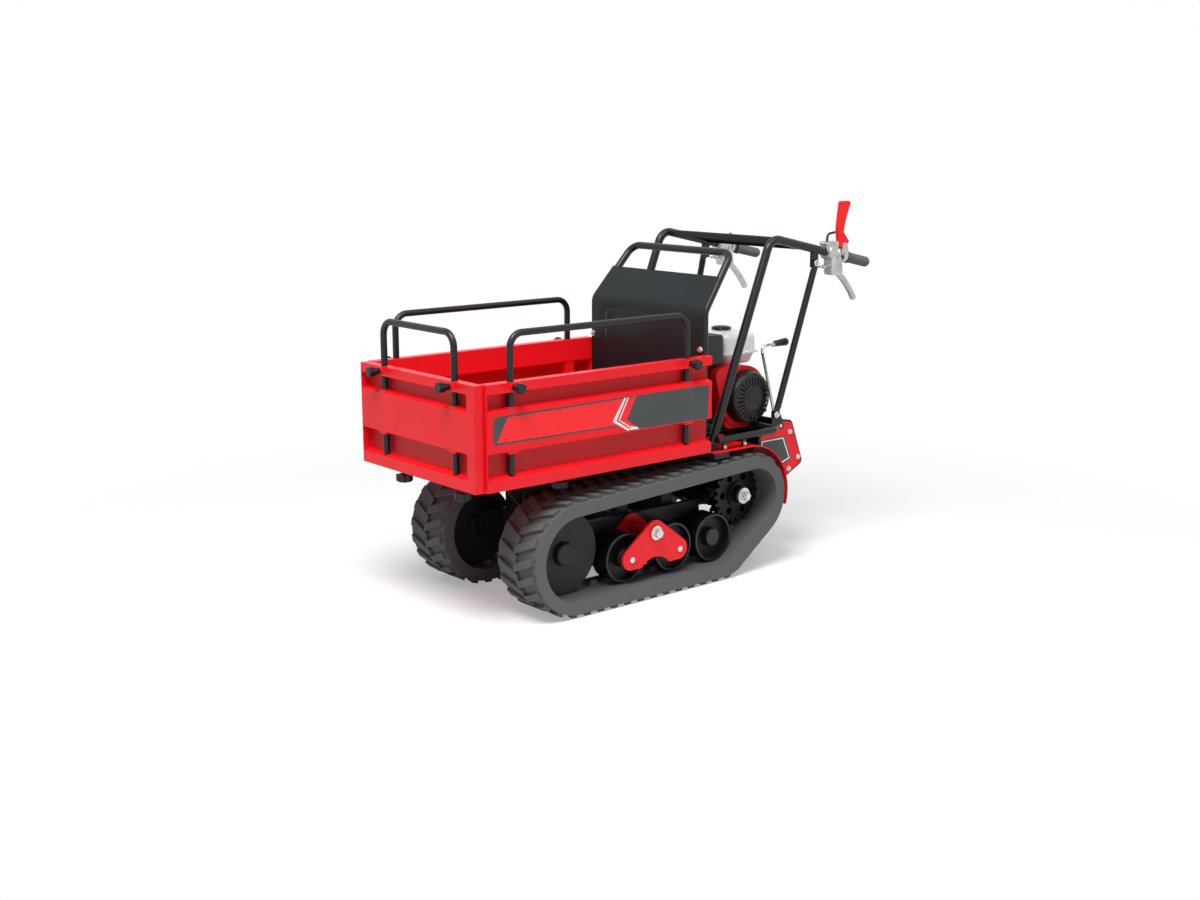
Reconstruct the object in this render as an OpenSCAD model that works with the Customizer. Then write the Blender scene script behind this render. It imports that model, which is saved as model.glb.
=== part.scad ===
// Tracked power carrier: two rubber tracks, a forward tipping load bed with
// three pull-out sides, and a rear engine with walk-behind handlebars.
// +X is forward, +Y is the left-hand side, +Z is up, the ground is z = 0.
// All lengths are in millimetres.

/* [Tracks] */
// Distance between the centre planes of the two tracks
track_gauge = 465; // [445:1:490]
// Width of one rubber track
track_w = 181; // [168:1:190]
// Thickness of the rubber band without its lugs
band_t = 38; // [30:1:40]
// Height of the tread lugs
lug_h = 11; // [8:1:14]
// Number of tread lugs along each half of a track
lug_count = 46; // [38:1:50]
// Length of a tread lug along the track
lug_l = 25; // [18:1:28]
// Forward slant of a lug from the middle of the track to its edge
lug_slant = 36; // [20:1:40]
// Distance of the lug ends from the sides of the band
lug_inset = 11; // [6:1:20]
// Number of guide teeth inside the band
guide_count = 36; // [30:1:40]
// Height of the guide teeth inside the band
guide_h = 16; // [12:1:18]
// Width of the row of guide teeth
guide_w = 12; // [8:1:14]
// Length of a guide tooth along the band
guide_l = 30; // [20:1:34]
// How far the row of guide teeth lies inside the middle of the track
guide_shift = 18; // [15:1:20]

/* [Wheels] */
// Position of the front idler along the machine
idler_x = 463; // [447:1:477]
// Radius of the band's inner face round the idler
idler_turn_r = 131; // [124:1:136]
// Width of the idler rim
idler_w = 38; // [30:1:40]
// How far the idler's outer face lies outside the middle of the track
idler_face = 4; // [0:1:8]
// Position of the rear drive sprocket along the machine
sprocket_x = -271; // [-279:1:-263]
// Height of the drive sprocket above the ground
sprocket_z = 250; // [240:1:258]
// Radius of the band's inner face round the sprocket
sprocket_turn_r = 99; // [94:1:104]
// Number of teeth on a sprocket disc
sprocket_teeth = 22; // [18:1:26]
// Thickness of a sprocket disc
disc_t = 10; // [6:1:12]
// How far the sprocket hub reaches outside the middle of the track
hub_out = 33; // [28:1:36]
// Radius of the drive shaft
drive_shaft_r = 14; // [10:1:18]
// Radius of a track roller
roller_r = 78; // [70:1:82]
// Width of a track roller
roller_w = 64; // [50:1:66]
// Radius of a roller pin
roller_pin_r = 10; // [8:1:13]
// Position of the fixed rear roller along the machine
rear_roller_x = -138; // [-143:1:-128]
// Position of the bogie pivot along the machine
bogie_x = 138; // [122:1:147]
// Height of the bogie pivot above the ground
bogie_z = 200; // [192:1:206]
// Distance between the two rollers of a bogie
bogie_span = 200; // [180:1:204]
// Radius of the bogie pivot shaft
bogie_pin_r = 14; // [10:1:16]
// Thickness of a bogie plate
bogie_plate_t = 8; // [5:1:10]

/* [Frame] */
// Position of the rear cross beam along the machine
tail_x = -493; // [-497:1:-489]
// Position of the rear cross member between the tracks
cross_rear_x = -53; // [-65:1:-40]
// Position of the front cross member between the tracks
cross_front_x = 377; // [360:1:390]
// Position of the front edge of the outriggers under the handlebars
outrigger_x = -99; // [-103:1:-95]
// Length of an outrigger along the machine
outrigger_l = 64; // [58:1:70]
// Position of the front end of the side guard bars
guard_front_x = -131; // [-140:1:-120]
// Position of the rear turn of the side guard bars
guard_rear_x = -413; // [-416:1:-408]
// Diameter of the side guard bars
guard_d = 22; // [18:1:24]

/* [Bed] */
// Rear end of the side panels along the machine
bed_rear_x = -82; // [-92:1:-66]
// Length of the side panels
side_panel_l = 867; // [850:1:880]
// Distance between the outer faces of the side panels
bed_w = 613; // [600:1:630]
// Width of the front panel
front_panel_w = 589; // [560:1:600]
// Height of the underside of the panels above the ground
panel_z = 426; // [424:1:440]
// Height of the panels
panel_h = 307; // [280:1:330]
// Depth of the pressed panel section
panel_d = 31; // [29:1:36]
// Thickness of the panel sheet
panel_t = 2; // [1.5:0.5:2.5]
// Height of the top rail of a panel
top_rail_h = 28; // [26:1:34]
// Height of the upper groove of a panel
upper_groove_h = 51; // [44:1:56]
// Height of the lower groove of a panel
lower_groove_h = 76; // [66:1:80]
// Height of the bottom rail of a panel
bottom_rail_h = 34; // [28:1:40]
// Width of the closing strip at the left end of the front panel
corner_strip_w = 37; // [20:1:45]
// Thickness of the bed floor sheet
floor_t = 3; // [2:0.5:5]
// Width of the square slide bars under the floor
slide_w = 22; // [18:1:24]
// Distance between the two slide bars of the front panel
front_slide_gauge = 310; // [290:1:330]
// Position of the front slide bars of the side panels
side_slide_front_x = 457; // [447:1:477]
// Position of the rear slide bars of the side panels
side_slide_rear_x = 67; // [47:1:97]
// Position of the tipping hinge along the machine
tip_x = 567; // [552:1:577]
// Height of the tipping hinge above the ground
tip_z = 395; // [388:1:400]
// Radius of the tipping hinge pin
tip_pin_r = 10; // [8:1:12]

/* [Rails and headboard] */
// Diameter of the lift-out rail tubes
rail_d = 20; // [16:1:21]
// Height of the centre line of the rail tops
rail_top_z = 868; // [840:1:900]
// Bend radius of the rail tubes
rail_bend_r = 42; // [32:1:60]
// Distance of the front leg of a side rail from the front end of its panel
rail_inset_front = 92; // [80:1:110]
// Distance of the rear leg of a side rail from the rear end of its panel
rail_inset_rear = 97; // [85:1:110]
// Distance between the two legs of the front rail
front_rail_span = 364; // [330:1:400]
// How far a clamp knob stands out from its panel
knob_reach = 44; // [34:1:48]
// Length of the head of a clamp knob
knob_head_l = 20; // [14:1:24]
// Radius of the head of a clamp knob
knob_r = 15; // [14:1:19]
// Diameter of the headboard tube
head_tube_d = 24; // [20:1:26]
// Height where the headboard starts to lean back
head_bend_z = 866; // [840:1:890]
// Height of the headboard crossbar
head_top_z = 1040; // [1010:1:1060]
// How far the crossbar lies behind the upright part of the headboard
head_lean = 140; // [110:1:150]
// Distance of the headboard uprights inside the outer faces of the side panels
head_inset = 44.5; // [42.5:0.5:56]
// How far each end of the crossbar lies inside its upright
head_taper = 27; // [17:1:40]
// Height of the upper edge of the headboard sheet
head_sheet_z = 970; // [940:1:985]
// Thickness of the headboard sheet
head_sheet_t = 3; // [2:0.5:4]

/* [Handlebars] */
// Diameter of the handlebar tubes
bar_d = 28; // [24:1:30]
// Distance between the centre lines of the two handlebars
bar_gauge = 516; // [500:1:530]
// Position of the foot of the handlebars
bar_foot_x = -127; // [-133:1:-125]
// Position of the upper bend of the handlebars
bar_bend_x = -383; // [-393:1:-363]
// Height of the upper bend of the handlebars
bar_bend_z = 1082; // [1060:1:1100]
// Position of the rear end of the handlebars
bar_end_x = -855; // [-873:1:-833]
// Height of the rear end of the handlebars
bar_end_z = 980; // [960:1:1000]
// Bend radius of the handlebars
bar_bend_r = 48; // [40:1:60]
// Diameter of the hand grips
grip_d = 35; // [33:1:40]
// Length of the hand grips
grip_l = 108; // [90:1:110]
// Diameter of the rear struts
strut_d = 22; // [18:1:26]

/* [Engine] */
// Position of the crankshaft along the machine
crank_x = -374; // [-378:1:-368]
// Height of the crankshaft above the ground
crank_z = 553; // [548:1:560]
// Outer face of the recoil cover, from the middle of the machine
recoil_y = 186; // [180:1:195]
// Radius of the recoil cover
recoil_r = 88; // [80:1:92]
// Depth of the recoil cover
recoil_d = 26; // [20:1:30]
// Number of cooling slots in the recoil cover
recoil_slots = 22; // [16:1:26]
// Length of the fuel tank
tank_l = 156; // [140:1:164]
// Width of the fuel tank
tank_w = 206; // [180:1:210]
// Height of the fuel tank
tank_h = 112; // [90:1:120]
// Lean of the cylinder from upright
cylinder_lean = 72; // [68:1:78]
// Height of the engine deck
deck_z = 444; // [440:1:446]

/* [Clearances] */
// Radial running clearance of turning parts
running_fit = 0.05; // [0.02:0.01:0.1]
// Gap between parts that slide past each other
slide_fit = 0.3; // [0.3:0.1:0.6]
// Gap between the rollers and the band, which lets the bogies rock
roller_gap = 4; // [4:0.5:5]
// Gap between the wheels and the band
wheel_gap = 0.7; // [0.6:0.1:1.2]
// Gap between the guide teeth and the grooves of the wheels
guide_gap = 4; // [3:0.5:5]

/* [Hidden] */
$fn = 64;

RED = [0.87, 0.13, 0.15];
DARK = [0.2, 0.21, 0.22];
BLACK = [0.07, 0.07, 0.075];
RUBBER = [0.27, 0.27, 0.27];
STEEL = [0.72, 0.73, 0.74];
PALE = [0.86, 0.86, 0.86];

// Track loop: band floor, wheel centres and the three turning circles [x, z, radius]
track_y = track_gauge / 2;
floor_z = lug_h + band_t;
idler_z = floor_z + idler_turn_r;
roller_z = floor_z + roller_gap + roller_r;
turn_rear = [rear_roller_x, roller_z, roller_r + roller_gap];
turn_idler = [idler_x, idler_z, idler_turn_r];
turn_drive = [sprocket_x, sprocket_z, sprocket_turn_r];
track_in_y = track_y - track_w / 2;
lug_top_r = band_t + lug_h;

// Groove of the wheels for the guide teeth, and the inner ends of rollers and sprocket hub
groove_half = guide_w / 2 + guide_gap;
groove_in = -guide_shift - groove_half;
groove_out = groove_half - guide_shift;
roller_in = disc_t - groove_in;
hub_in = roller_in + 2;

// Frame between the tracks
beam_t = 20;
beam_y = track_in_y + 4;
beam_out_y = beam_y + beam_t;
beam_z0 = 186;
beam_z1 = 236;
skirt_z = floor_z + 38;
skirt_t = 6;
rail_w = 32;
rail_out_y = track_in_y - 8;
rail_z0 = 310;
rail_z1 = 370;
outrigger_z = 418;
outrigger_x0 = outrigger_x - outrigger_l;
deck_front_x = outrigger_x - 12;
plate_y = 236;
plate_t = 5;
fender_r = sprocket_turn_r + lug_top_r + 21;
fender_t = 3;

// Bed
side_rear_x = bed_rear_x;
side_front_x = side_rear_x + side_panel_l;
front_back_x = side_front_x + 3;
bed_front_x = front_back_x + panel_d;
side_in_y = bed_w / 2 - panel_d;
panel_top_z = panel_z + panel_h;
leg_depth = 14;
slide_top_z = panel_z + 15;
slide_mid_z = slide_top_z - slide_w / 2;
sleeve_wall = 2.7;
sleeve_w = slide_w + 2 * slide_fit + 2 * sleeve_wall;
floor_under_z = slide_mid_z + sleeve_w / 2;
floor_top_z = floor_under_z + floor_t;
floor_rear_x = side_rear_x - 24;
head_x = side_rear_x - 7;
head_w = bed_w - 2 * head_inset;
head_top_w = head_w - 2 * head_taper;
head_front_x = head_x + head_tube_d / 2 + 0.3;
lug_y0 = 80;
lug_plate_t = 12;
side_rail_front_x = side_front_x - rail_inset_front;
side_rail_rear_x = side_rear_x + rail_inset_rear;
knob_z = panel_top_z - top_rail_h / 2;
side_leg_y = bed_w / 2 - leg_depth;
front_leg_x = bed_front_x - leg_depth;

// Handlebars
bar_y = bar_gauge / 2;
bar_slope = atan2(bar_bend_z - bar_end_z, bar_bend_x - bar_end_x);
fender_top_z = outrigger_z + fender_t;
function bar_axis_z(x) = bar_end_z + (x - bar_end_x) * tan(bar_slope);
clamp_x = bar_end_x + 172;
lever_x = clamp_x - 17;
lever_z = bar_axis_z(lever_x) - 52;
clutch_x = bar_end_x + 124;
clutch_z = bar_axis_z(clutch_x) + 34;
throttle_x = bar_end_x + 138;
throttle_z = bar_axis_z(throttle_x) + 32;
strut_top_x = bar_end_x + 262;
strut_top = [strut_top_x, bar_y, bar_axis_z(strut_top_x) - 46];
strut_foot = [tail_x + 46, plate_y + 12, deck_z + 50];
gear_x = tail_x + 16;
gear_y = plate_y - plate_t - 16;
gear_z = deck_z + 8;
bar_lean = atan2(bar_foot_x - bar_bend_x, bar_bend_z - fender_top_z);
foot_lift = bar_d / 2 * sin(bar_lean) + 0.2;
console_front_x = bar_bend_x - 24;
console_rear_x = strut_top_x + 3;

// Engine
fan_y = recoil_y - recoil_d;
tank_x = crank_x - 5;
tank_y = 44;
tank_z = 668;

// Plain helpers
module span(a, b) {
    translate(a) cube(b - a);
}

module y_rod(x, z, y0, y1, r) {
    translate([x, y0, z]) rotate([-90, 0, 0]) cylinder(h = y1 - y0, r = r);
}

module x_rod(x0, x1, y, z, r) {
    translate([x0, y, z]) rotate([0, 90, 0]) cylinder(h = x1 - x0, r = r);
}

module z_rod(x, y, z0, z1, r) {
    translate([x, y, z0]) cylinder(h = z1 - z0, r = r);
}

// A profile drawn in x and z, run along y
module along_y(y0, y1) {
    translate([0, y1, 0]) rotate([90, 0, 0]) linear_extrude(height = y1 - y0) children();
}

// A profile drawn in y and z, run along x
module along_x(x0, x1) {
    translate([x0, 0, 0]) rotate([90, 0, 90]) linear_extrude(height = x1 - x0) children();
}

// A profile of radius and y, turned about an axis along y
module spun(x, y, z, profile) {
    translate([x, y, z]) rotate([-90, 0, 0]) rotate_extrude() polygon(profile);
}

module on_side(s) {
    if (s > 0) children();
    else mirror([0, 1, 0]) children();
}

module both() {
    children();
    mirror([0, 1, 0]) children();
}

function dir(a) = [cos(a), sin(a)];
function unit(v) = v / norm(v);

// Outer tangents and arcs of a loop of circles
function tangent_a(a, b) = atan2(b.y - a.y, b.x - a.x) - 90
    + asin((a[2] - b[2]) / norm([b.x - a.x, b.y - a.y]));
function arc_pts(c, r, a0, a1, n) = [
    for (i = [0:n]) [c.x, c.y] + r * dir(a0 + (a1 - a0) * i / n)
];
function up_from(a, b) = b + 360 * ceil((a - b) / 360);
function ring_pts(cs, t, step) = [
    for (i = [0:len(cs) - 1])
        let (
            k = len(cs),
            a0 = tangent_a(cs[(i + k - 1) % k], cs[i]),
            a1 = up_from(a0, tangent_a(cs[i], cs[(i + 1) % k])),
            n = max(1, ceil((a1 - a0) / step))
        )
        each arc_pts(cs[i], cs[i][2] + t, a0, a1, n)
];

// A sheet profile folded along a list of points, thickened to the left
function seg_n(a, b) = let (d = unit(b - a)) [-d.y, d.x];
function fold_pt(p, i, t) = let (
        n0 = i > 0 ? seg_n(p[i - 1], p[i]) : seg_n(p[0], p[1]),
        n1 = i < len(p) - 1 ? seg_n(p[i], p[i + 1]) : n0
    ) p[i] + (n0 + n1) * t / (1 + n0 * n1);
function folded(p, t) = concat(p, [for (i = [len(p) - 1:-1:0]) fold_pt(p, i, t)]);

// A round bar through a list of points, with a bend at each inner point
function bend_t(p, i, r) = let (
        u = unit(p[i - 1] - p[i]),
        v = unit(p[i + 1] - p[i])
    ) r * tan((180 - acos(u * v)) / 2);

module rod_to(a, b, r) {
    w = unit(b - a);
    u = unit(cross(abs(w.z) < 0.9 ? [0, 0, 1] : [1, 0, 0], w));
    v = cross(w, u);
    multmatrix([
        [u.x, v.x, w.x, a.x],
        [u.y, v.y, w.y, a.y],
        [u.z, v.z, w.z, a.z],
        [0, 0, 0, 1]
    ]) cylinder(h = norm(b - a), r = r);
}

// A bend between two straights, trimmed a little at both ends for the joint rings
module bend_at(a, b, c, bend_r, r) {
    u = unit(a - b);
    v = unit(c - b);
    turn = 180 - acos(u * v);
    trim = ring_trim / bend_r * 180 / PI;
    mid = b + unit(u + v) * bend_r / cos(turn / 2);
    x = unit(b + u * bend_r * tan(turn / 2) - mid);
    z = cross(x, -u);
    multmatrix([
        [x.x, -u.x, z.x, mid.x],
        [x.y, -u.y, z.y, mid.y],
        [x.z, -u.z, z.z, mid.z],
        [0, 0, 0, 1]
    ]) rotate([0, 0, trim]) rotate_extrude(angle = turn - 2 * trim) translate([bend_r, 0]) circle(r = r);
}

// Each straight and bend are joined by a thin ring, like a dressed weld
ring_trim = 0.3;
ring_h = 0.06;
module bent_rod(p, bend_r, r) {
    last = len(p) - 1;
    for (i = [0:last - 1]) {
        w = unit(p[i + 1] - p[i]);
        a = i > 0 ? p[i] + w * bend_t(p, i, bend_r) : p[i];
        b = i < last - 1 ? p[i + 1] - w * bend_t(p, i + 1, bend_r) : p[i + 1];
        rod_to(i > 0 ? a + w * ring_trim : a, i < last - 1 ? b - w * ring_trim : b, r);
        if (i > 0) rod_to(a - w, a + w, r + ring_h);
        if (i < last - 1) rod_to(b - w, b + w, r + ring_h);
    }
    for (i = [1:1:last - 1])
        bend_at(p[i - 1], p[i], p[i + 1], bend_r, r);
}

// Points on the track loop, [x, z, direction of the outward normal]
loop = [turn_rear, turn_idler, turn_drive];
norm_floor = tangent_a(turn_rear, turn_idler);
norm_top = up_from(norm_floor, tangent_a(turn_idler, turn_drive));
norm_ramp = up_from(norm_top, tangent_a(turn_drive, turn_rear));
function run_l(a, b) = sqrt(pow(b.x - a.x, 2) + pow(b.y - a.y, 2) - pow(a[2] - b[2], 2));
function turn_l(c, a0, a1, t) = (c[2] + t) * (a1 - a0) * PI / 180;
function on_run(c, n, s, t) = let (p = [c.x, c.y] + (c[2] + t) * dir(n) + s * dir(n + 90)) [p.x, p.y, n];
function on_turn(c, n, s, t) = let (
        a = n + s / (c[2] + t) * 180 / PI,
        p = [c.x, c.y] + (c[2] + t) * dir(a)
    ) [p.x, p.y, a];
function loop_stops(t) = let (
        s0 = run_l(turn_rear, turn_idler),
        s1 = s0 + turn_l(turn_idler, norm_floor, norm_top, t),
        s2 = s1 + run_l(turn_idler, turn_drive),
        s3 = s2 + turn_l(turn_drive, norm_top, norm_ramp, t),
        s4 = s3 + run_l(turn_drive, turn_rear),
        s5 = s4 + turn_l(turn_rear, norm_ramp, norm_floor + 360, t)
    ) [s0, s1, s2, s3, s4, s5];
function loop_at(s, t, e) =
    s < e[0] ? on_run(turn_rear, norm_floor, s, t)
    : s < e[1] ? on_turn(turn_idler, norm_floor, s - e[0], t)
    : s < e[2] ? on_run(turn_idler, norm_top, s - e[1], t)
    : s < e[3] ? on_turn(turn_drive, norm_top, s - e[2], t)
    : s < e[4] ? on_run(turn_drive, norm_ramp, s - e[3], t)
    : on_turn(turn_rear, norm_ramp, s - e[4], t);

// Inner outline with guide teeth, sunk 4 into the band between the teeth
function guide_pts() = let (e = loop_stops(0), pitch = e[5] / guide_count) [
    for (i = [0:guide_count - 1], k = [[-0.5, 4], [-0.32, -guide_h], [0.32, -guide_h], [0.5, 4]])
        let (
            s = (i + 0.5) * pitch + k[0] * guide_l,
            p = loop_at(s, 0, e)
        ) [p.x, p.y] + k[1] * dir(p[2])
];

// Rubber track with herringbone lugs outside and a row of guide teeth inside
module track() {
    e = loop_stops(band_t);
    pitch = e[5] / lug_count;
    edge = track_w / 2 - lug_inset;
    in_x = lug_slant / 2;
    translate([0, track_y, 0]) {
        along_y(-track_w / 2, track_w / 2) difference() {
            polygon(ring_pts(loop, band_t, 6));
            polygon(ring_pts(loop, 0, 6));
        }
        intersection() {
            along_y(-edge, edge) polygon(ring_pts(loop, lug_top_r, 6));
            for (s = [-1, 1], i = [0:lug_count - 1]) {
                p = loop_at((i + (s > 0 ? 0.25 : 0.75)) * pitch, band_t, e);
                translate([p.x, 0, p.y]) rotate([0, 90 - p[2], 0]) translate([0, 0, -7])
                    linear_extrude(height = lug_h + 14) polygon([
                        [in_x - lug_l / 2, -s * 5],
                        [in_x + lug_l / 2, -s * 5],
                        [lug_l / 2 - in_x, s * (edge + 1)],
                        [-lug_l / 2 - in_x, s * (edge + 1)]
                    ]);
            }
        }
        along_y(-guide_shift - guide_w / 2, guide_w / 2 - guide_shift) difference() {
            polygon(ring_pts(loop, band_t / 2, 6));
            polygon(guide_pts());
        }
    }
}

module track_left() {
    color(RUBBER) track();
}

module track_right() {
    color(RUBBER) mirror([0, 1, 0]) track();
}

// Idler wheel with a plain outer face, a guide groove and a blind hub
module idler() {
    r = idler_turn_r - wheel_gap;
    h0 = idler_face - idler_w;
    h1 = idler_face;
    b = 12 + running_fit;
    g = r - guide_h - 2;
    spun(idler_x, track_y, idler_z, [
        [b, h0 - 8], [34, h0 - 8], [34, h0 + 10], [g - 15, h0 + 10], [g - 12, h0], [r - 2, h0], [r, h0 + 2],
        [r, groove_in], [g, groove_in], [g, groove_out], [r, groove_out], [r, h1 - 2], [r - 2, h1], [38, h1], [34, h1 - 4], [34, h1 + 16], [31, h1 + 19], [0, h1 + 19],
        [0, h1 + 12], [b, h1 + 12]
    ]);
}

module idler_left() {
    color(BLACK) idler();
}

module idler_right() {
    color(BLACK) mirror([0, 1, 0]) idler();
}

// Drive sprocket: two toothed discs beside the guide teeth, a stepped hub, its shaft and a castle nut
function saw_pts(n, r0, r1) = [
    for (i = [0:n - 1], k = [[-0.36, r0], [-0.12, r1], [0.12, r1], [0.36, r0]]) k[1] * dir((i + k[0]) * 360 / n)
];
module sprocket_disc(y) {
    r = sprocket_turn_r - wheel_gap;
    along_y(y, y + disc_t) difference() {
        polygon(saw_pts(sprocket_teeth, r - 15, r - 0.5));
        for (a = [0:60:300])
            translate(62 * dir(a)) circle(r = 12);
    }
}

module sprocket() {
    translate([sprocket_x, track_y, sprocket_z]) {
        sprocket_disc(groove_out);
        sprocket_disc(groove_in - disc_t);
        y_rod(0, 0, -hub_in, groove_out + disc_t + 8, 42);
        y_rod(0, 0, groove_out, hub_out, 30);
        y_rod(0, 0, 100 - track_y, 0, drive_shaft_r);
        y_rod(0, 0, hub_out, hub_out + 6, 26);
        difference() {
            translate([0, hub_out + 6, 0]) rotate([-90, 0, 0]) cylinder(h = 16, r = 16, $fn = 6);
            for (a = [0, 60, 120])
                rotate([0, a + 30, 0]) span([-20, hub_out + 16, -2.5], [20, hub_out + 26, 2.5]);
        }
        y_rod(0, 0, hub_out, hub_out + 26, 9);
    }
}

module sprocket_left() {
    color(BLACK) sprocket();
}

module sprocket_right() {
    color(BLACK) mirror([0, 1, 0]) sprocket();
}

// Track roller with a dished web, raised rim edges and a guide groove; the rear one has a blind hub
module roller(x, blind) {
    h = roller_w / 2;
    b = roller_pin_r + running_fit;
    g = roller_r - guide_h;
    spun(x, track_y, roller_z, concat(
        [[b, -roller_in], [roller_r - 2, -roller_in], [roller_r, 2 - roller_in]],
        [[roller_r, groove_in], [g, groove_in], [g, groove_out], [roller_r, groove_out]],
        [[roller_r, h - 2], [roller_r - 1.5, h], [roller_r - 7, h], [roller_r - 9, 8], [32, 8], [29, h - 2], [27, h]],
        blind ? [[0, h], [0, h - 6], [b, h - 6]] : [[b, h]]
    ));
}

module roller_left_front() {
    color(BLACK) roller(bogie_x + bogie_span / 2, false);
}

module roller_left_middle() {
    color(BLACK) roller(bogie_x - bogie_span / 2, false);
}

module roller_left_rear() {
    color(BLACK) roller(rear_roller_x, true);
}

module roller_right_front() {
    color(BLACK) mirror([0, 1, 0]) roller(bogie_x + bogie_span / 2, false);
}

module roller_right_middle() {
    color(BLACK) mirror([0, 1, 0]) roller(bogie_x - bogie_span / 2, false);
}

module roller_right_rear() {
    color(BLACK) mirror([0, 1, 0]) roller(rear_roller_x, true);
}

// Rocking bogie: two arched plates, a pivot sleeve and two roller pins
bogie_in = roller_w / 2 + 20;
bogie_out = bogie_in + bogie_plate_t;
module bogie_plate_2d() {
    drop = roller_z - bogie_z;
    difference() {
        polygon(ring_pts([
            [-bogie_span / 2, drop, 34],
            [bogie_span / 2, drop, 34],
            [0, 2, 38]
        ], 0, 6));
        translate([0, drop - 84]) circle(r = 76);
        circle(r = bogie_pin_r + running_fit);
    }
}

module bogie() {
    drop = roller_z - bogie_z;
    translate([bogie_x, track_y, bogie_z]) {
        for (y = [-bogie_out, bogie_in])
            along_y(y, y + bogie_plate_t) bogie_plate_2d();
        difference() {
            y_rod(0, 0, -bogie_in, bogie_in, bogie_pin_r + 8);
            y_rod(0, 0, -bogie_in - 1, bogie_in + 1, bogie_pin_r + running_fit);
        }
        for (x = [-bogie_span / 2, bogie_span / 2]) {
            y_rod(x, drop, -bogie_out - 2, bogie_out + 1, roller_pin_r - 1);
            y_rod(x, drop, -bogie_in - 1, bogie_in + 1, roller_pin_r);
            y_rod(x, drop, roller_w / 2 + slide_fit, bogie_in, roller_pin_r + 6);
            y_rod(x, drop, -bogie_in, -roller_in - slide_fit, roller_pin_r + 6);
            translate([x, bogie_out, drop]) rotate([-90, 0, 0]) cylinder(h = 6, r = 10, $fn = 6);
        }
    }
}

module bogie_left() {
    color(RED) bogie();
}

module bogie_right() {
    color(RED) mirror([0, 1, 0]) bogie();
}

// Welded frame: track beams, cross members, long rails, axles, outriggers and deck
module frame_half() {
    span([rear_roller_x - 30, beam_y, beam_z0], [idler_x + 26, beam_out_y, beam_z1]);
    span([rear_roller_x - 24, beam_y, roller_z - 26], [rear_roller_x + 24, beam_out_y, beam_z0]);
    span([idler_x - 30, beam_y, idler_z - 24], [idler_x + 26, beam_out_y, beam_z1]);
    along_y(beam_y, beam_y + skirt_t) polygon([
        [rear_roller_x - 20, beam_z0 + 1], [rear_roller_x - 10, skirt_z], [idler_x - 50, skirt_z], [idler_x - 20, beam_z0 + 1]
    ]);
    y_rod(idler_x, idler_z, beam_out_y, track_y + idler_face + 11.5, 12);
    y_rod(idler_x, idler_z, beam_out_y, track_y + idler_face - idler_w - 8 - slide_fit, 20);
    y_rod(rear_roller_x, roller_z, beam_out_y, track_y + roller_w / 2 - 8, roller_pin_r);
    y_rod(rear_roller_x, roller_z, beam_out_y, track_y - roller_in - slide_fit, roller_pin_r + 6);
    y_rod(bogie_x, bogie_z, beam_out_y, track_y + bogie_out + 3, bogie_pin_r);
    span([tail_x - 20, rail_out_y - rail_w, rail_z0], [tip_x - 42, rail_out_y, rail_z1]);
    for (x = [cross_rear_x, bogie_x, cross_front_x])
        span([x - 22, rail_out_y - rail_w, beam_z1 - 6], [x + 22, rail_out_y, rail_z0]);
    difference() {
        along_y(rail_out_y - rail_w, rail_out_y - rail_w + 14) polygon([
            [tip_x - 130, rail_z0 + 4], [tip_x - 42, rail_z0 + 4], [tip_x + 20, tip_z - 16],
            [tip_x + 20, tip_z + 10], [tip_x + 8, tip_z + 20], [tip_x - 12, tip_z + 20], [tip_x - 60, rail_z1]
        ]);
        y_rod(tip_x, tip_z, 0, rail_out_y, tip_pin_r + running_fit);
    }
    span([outrigger_x0, 0, outrigger_z - 18], [outrigger_x, track_y + track_w / 2 - 16, outrigger_z]);
    span([outrigger_x0, rail_out_y - rail_w, rail_z1], [outrigger_x, rail_out_y, outrigger_z - 18]);
    span([tail_x - 20, 0, rail_z0 + 10], [tail_x + 20, plate_y - plate_t, rail_z1 - 6]);
    span([tail_x + 10, rail_out_y - rail_w, rail_z1], [tail_x + 50, rail_out_y, deck_z - 4]);
    span([tail_x + 10, 0, deck_z - 4], [deck_front_x, rail_out_y, deck_z]);
    span([outrigger_x0, rail_out_y - rail_w, outrigger_z], [deck_front_x, rail_out_y, deck_z - 4]);
    span([gear_x - 14, rail_out_y - 6, deck_z - 24], [gear_x + 14, rail_out_y, deck_z - 4]);
    z_rod(side_slide_rear_x, rail_out_y - rail_w / 2, rail_z1, slide_mid_z - sleeve_w / 2 - slide_fit, 16);
}

module main_frame() {
    color(DARK) {
        both() frame_half();
        for (x = [cross_rear_x, bogie_x, cross_front_x])
            span([x - 25, -beam_y - 1, beam_z0 + 2], [x + 25, beam_y + 1, beam_z1 - 4]);
    }
}

// Transmission case with two axle sleeves
module gearbox_housing() {
    w = rail_out_y - rail_w - 6;
    color(DARK) difference() {
        union() {
            along_y(-w, w) polygon(ring_pts([
                [sprocket_x, sprocket_z, 62],
                [sprocket_x + 20, sprocket_z + 74, 44],
                [sprocket_x - 46, sprocket_z + 40, 46]
            ], 0, 8));
            y_rod(sprocket_x, sprocket_z, -w - 3, w + 3, 46);
            y_rod(sprocket_x, sprocket_z, hub_in + slide_fit - track_y, track_y - hub_in - slide_fit, 27);
            for (y = [-w + 30, 0, w - 30])
                along_y(y - 4, y + 4) polygon(ring_pts([
                    [sprocket_x, sprocket_z, 68],
                    [sprocket_x + 20, sprocket_z + 74, 48],
                    [sprocket_x - 46, sprocket_z + 40, 50]
                ], 0, 8));
            span([sprocket_x + 10, -w - 6, sprocket_z + 70], [sprocket_x + 40, w + 6, sprocket_z + 100]);
        }
        y_rod(sprocket_x, sprocket_z, -track_y, -80, drive_shaft_r + running_fit);
        y_rod(sprocket_x, sprocket_z, 80, track_y, drive_shaft_r + running_fit);
    }
}

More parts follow.
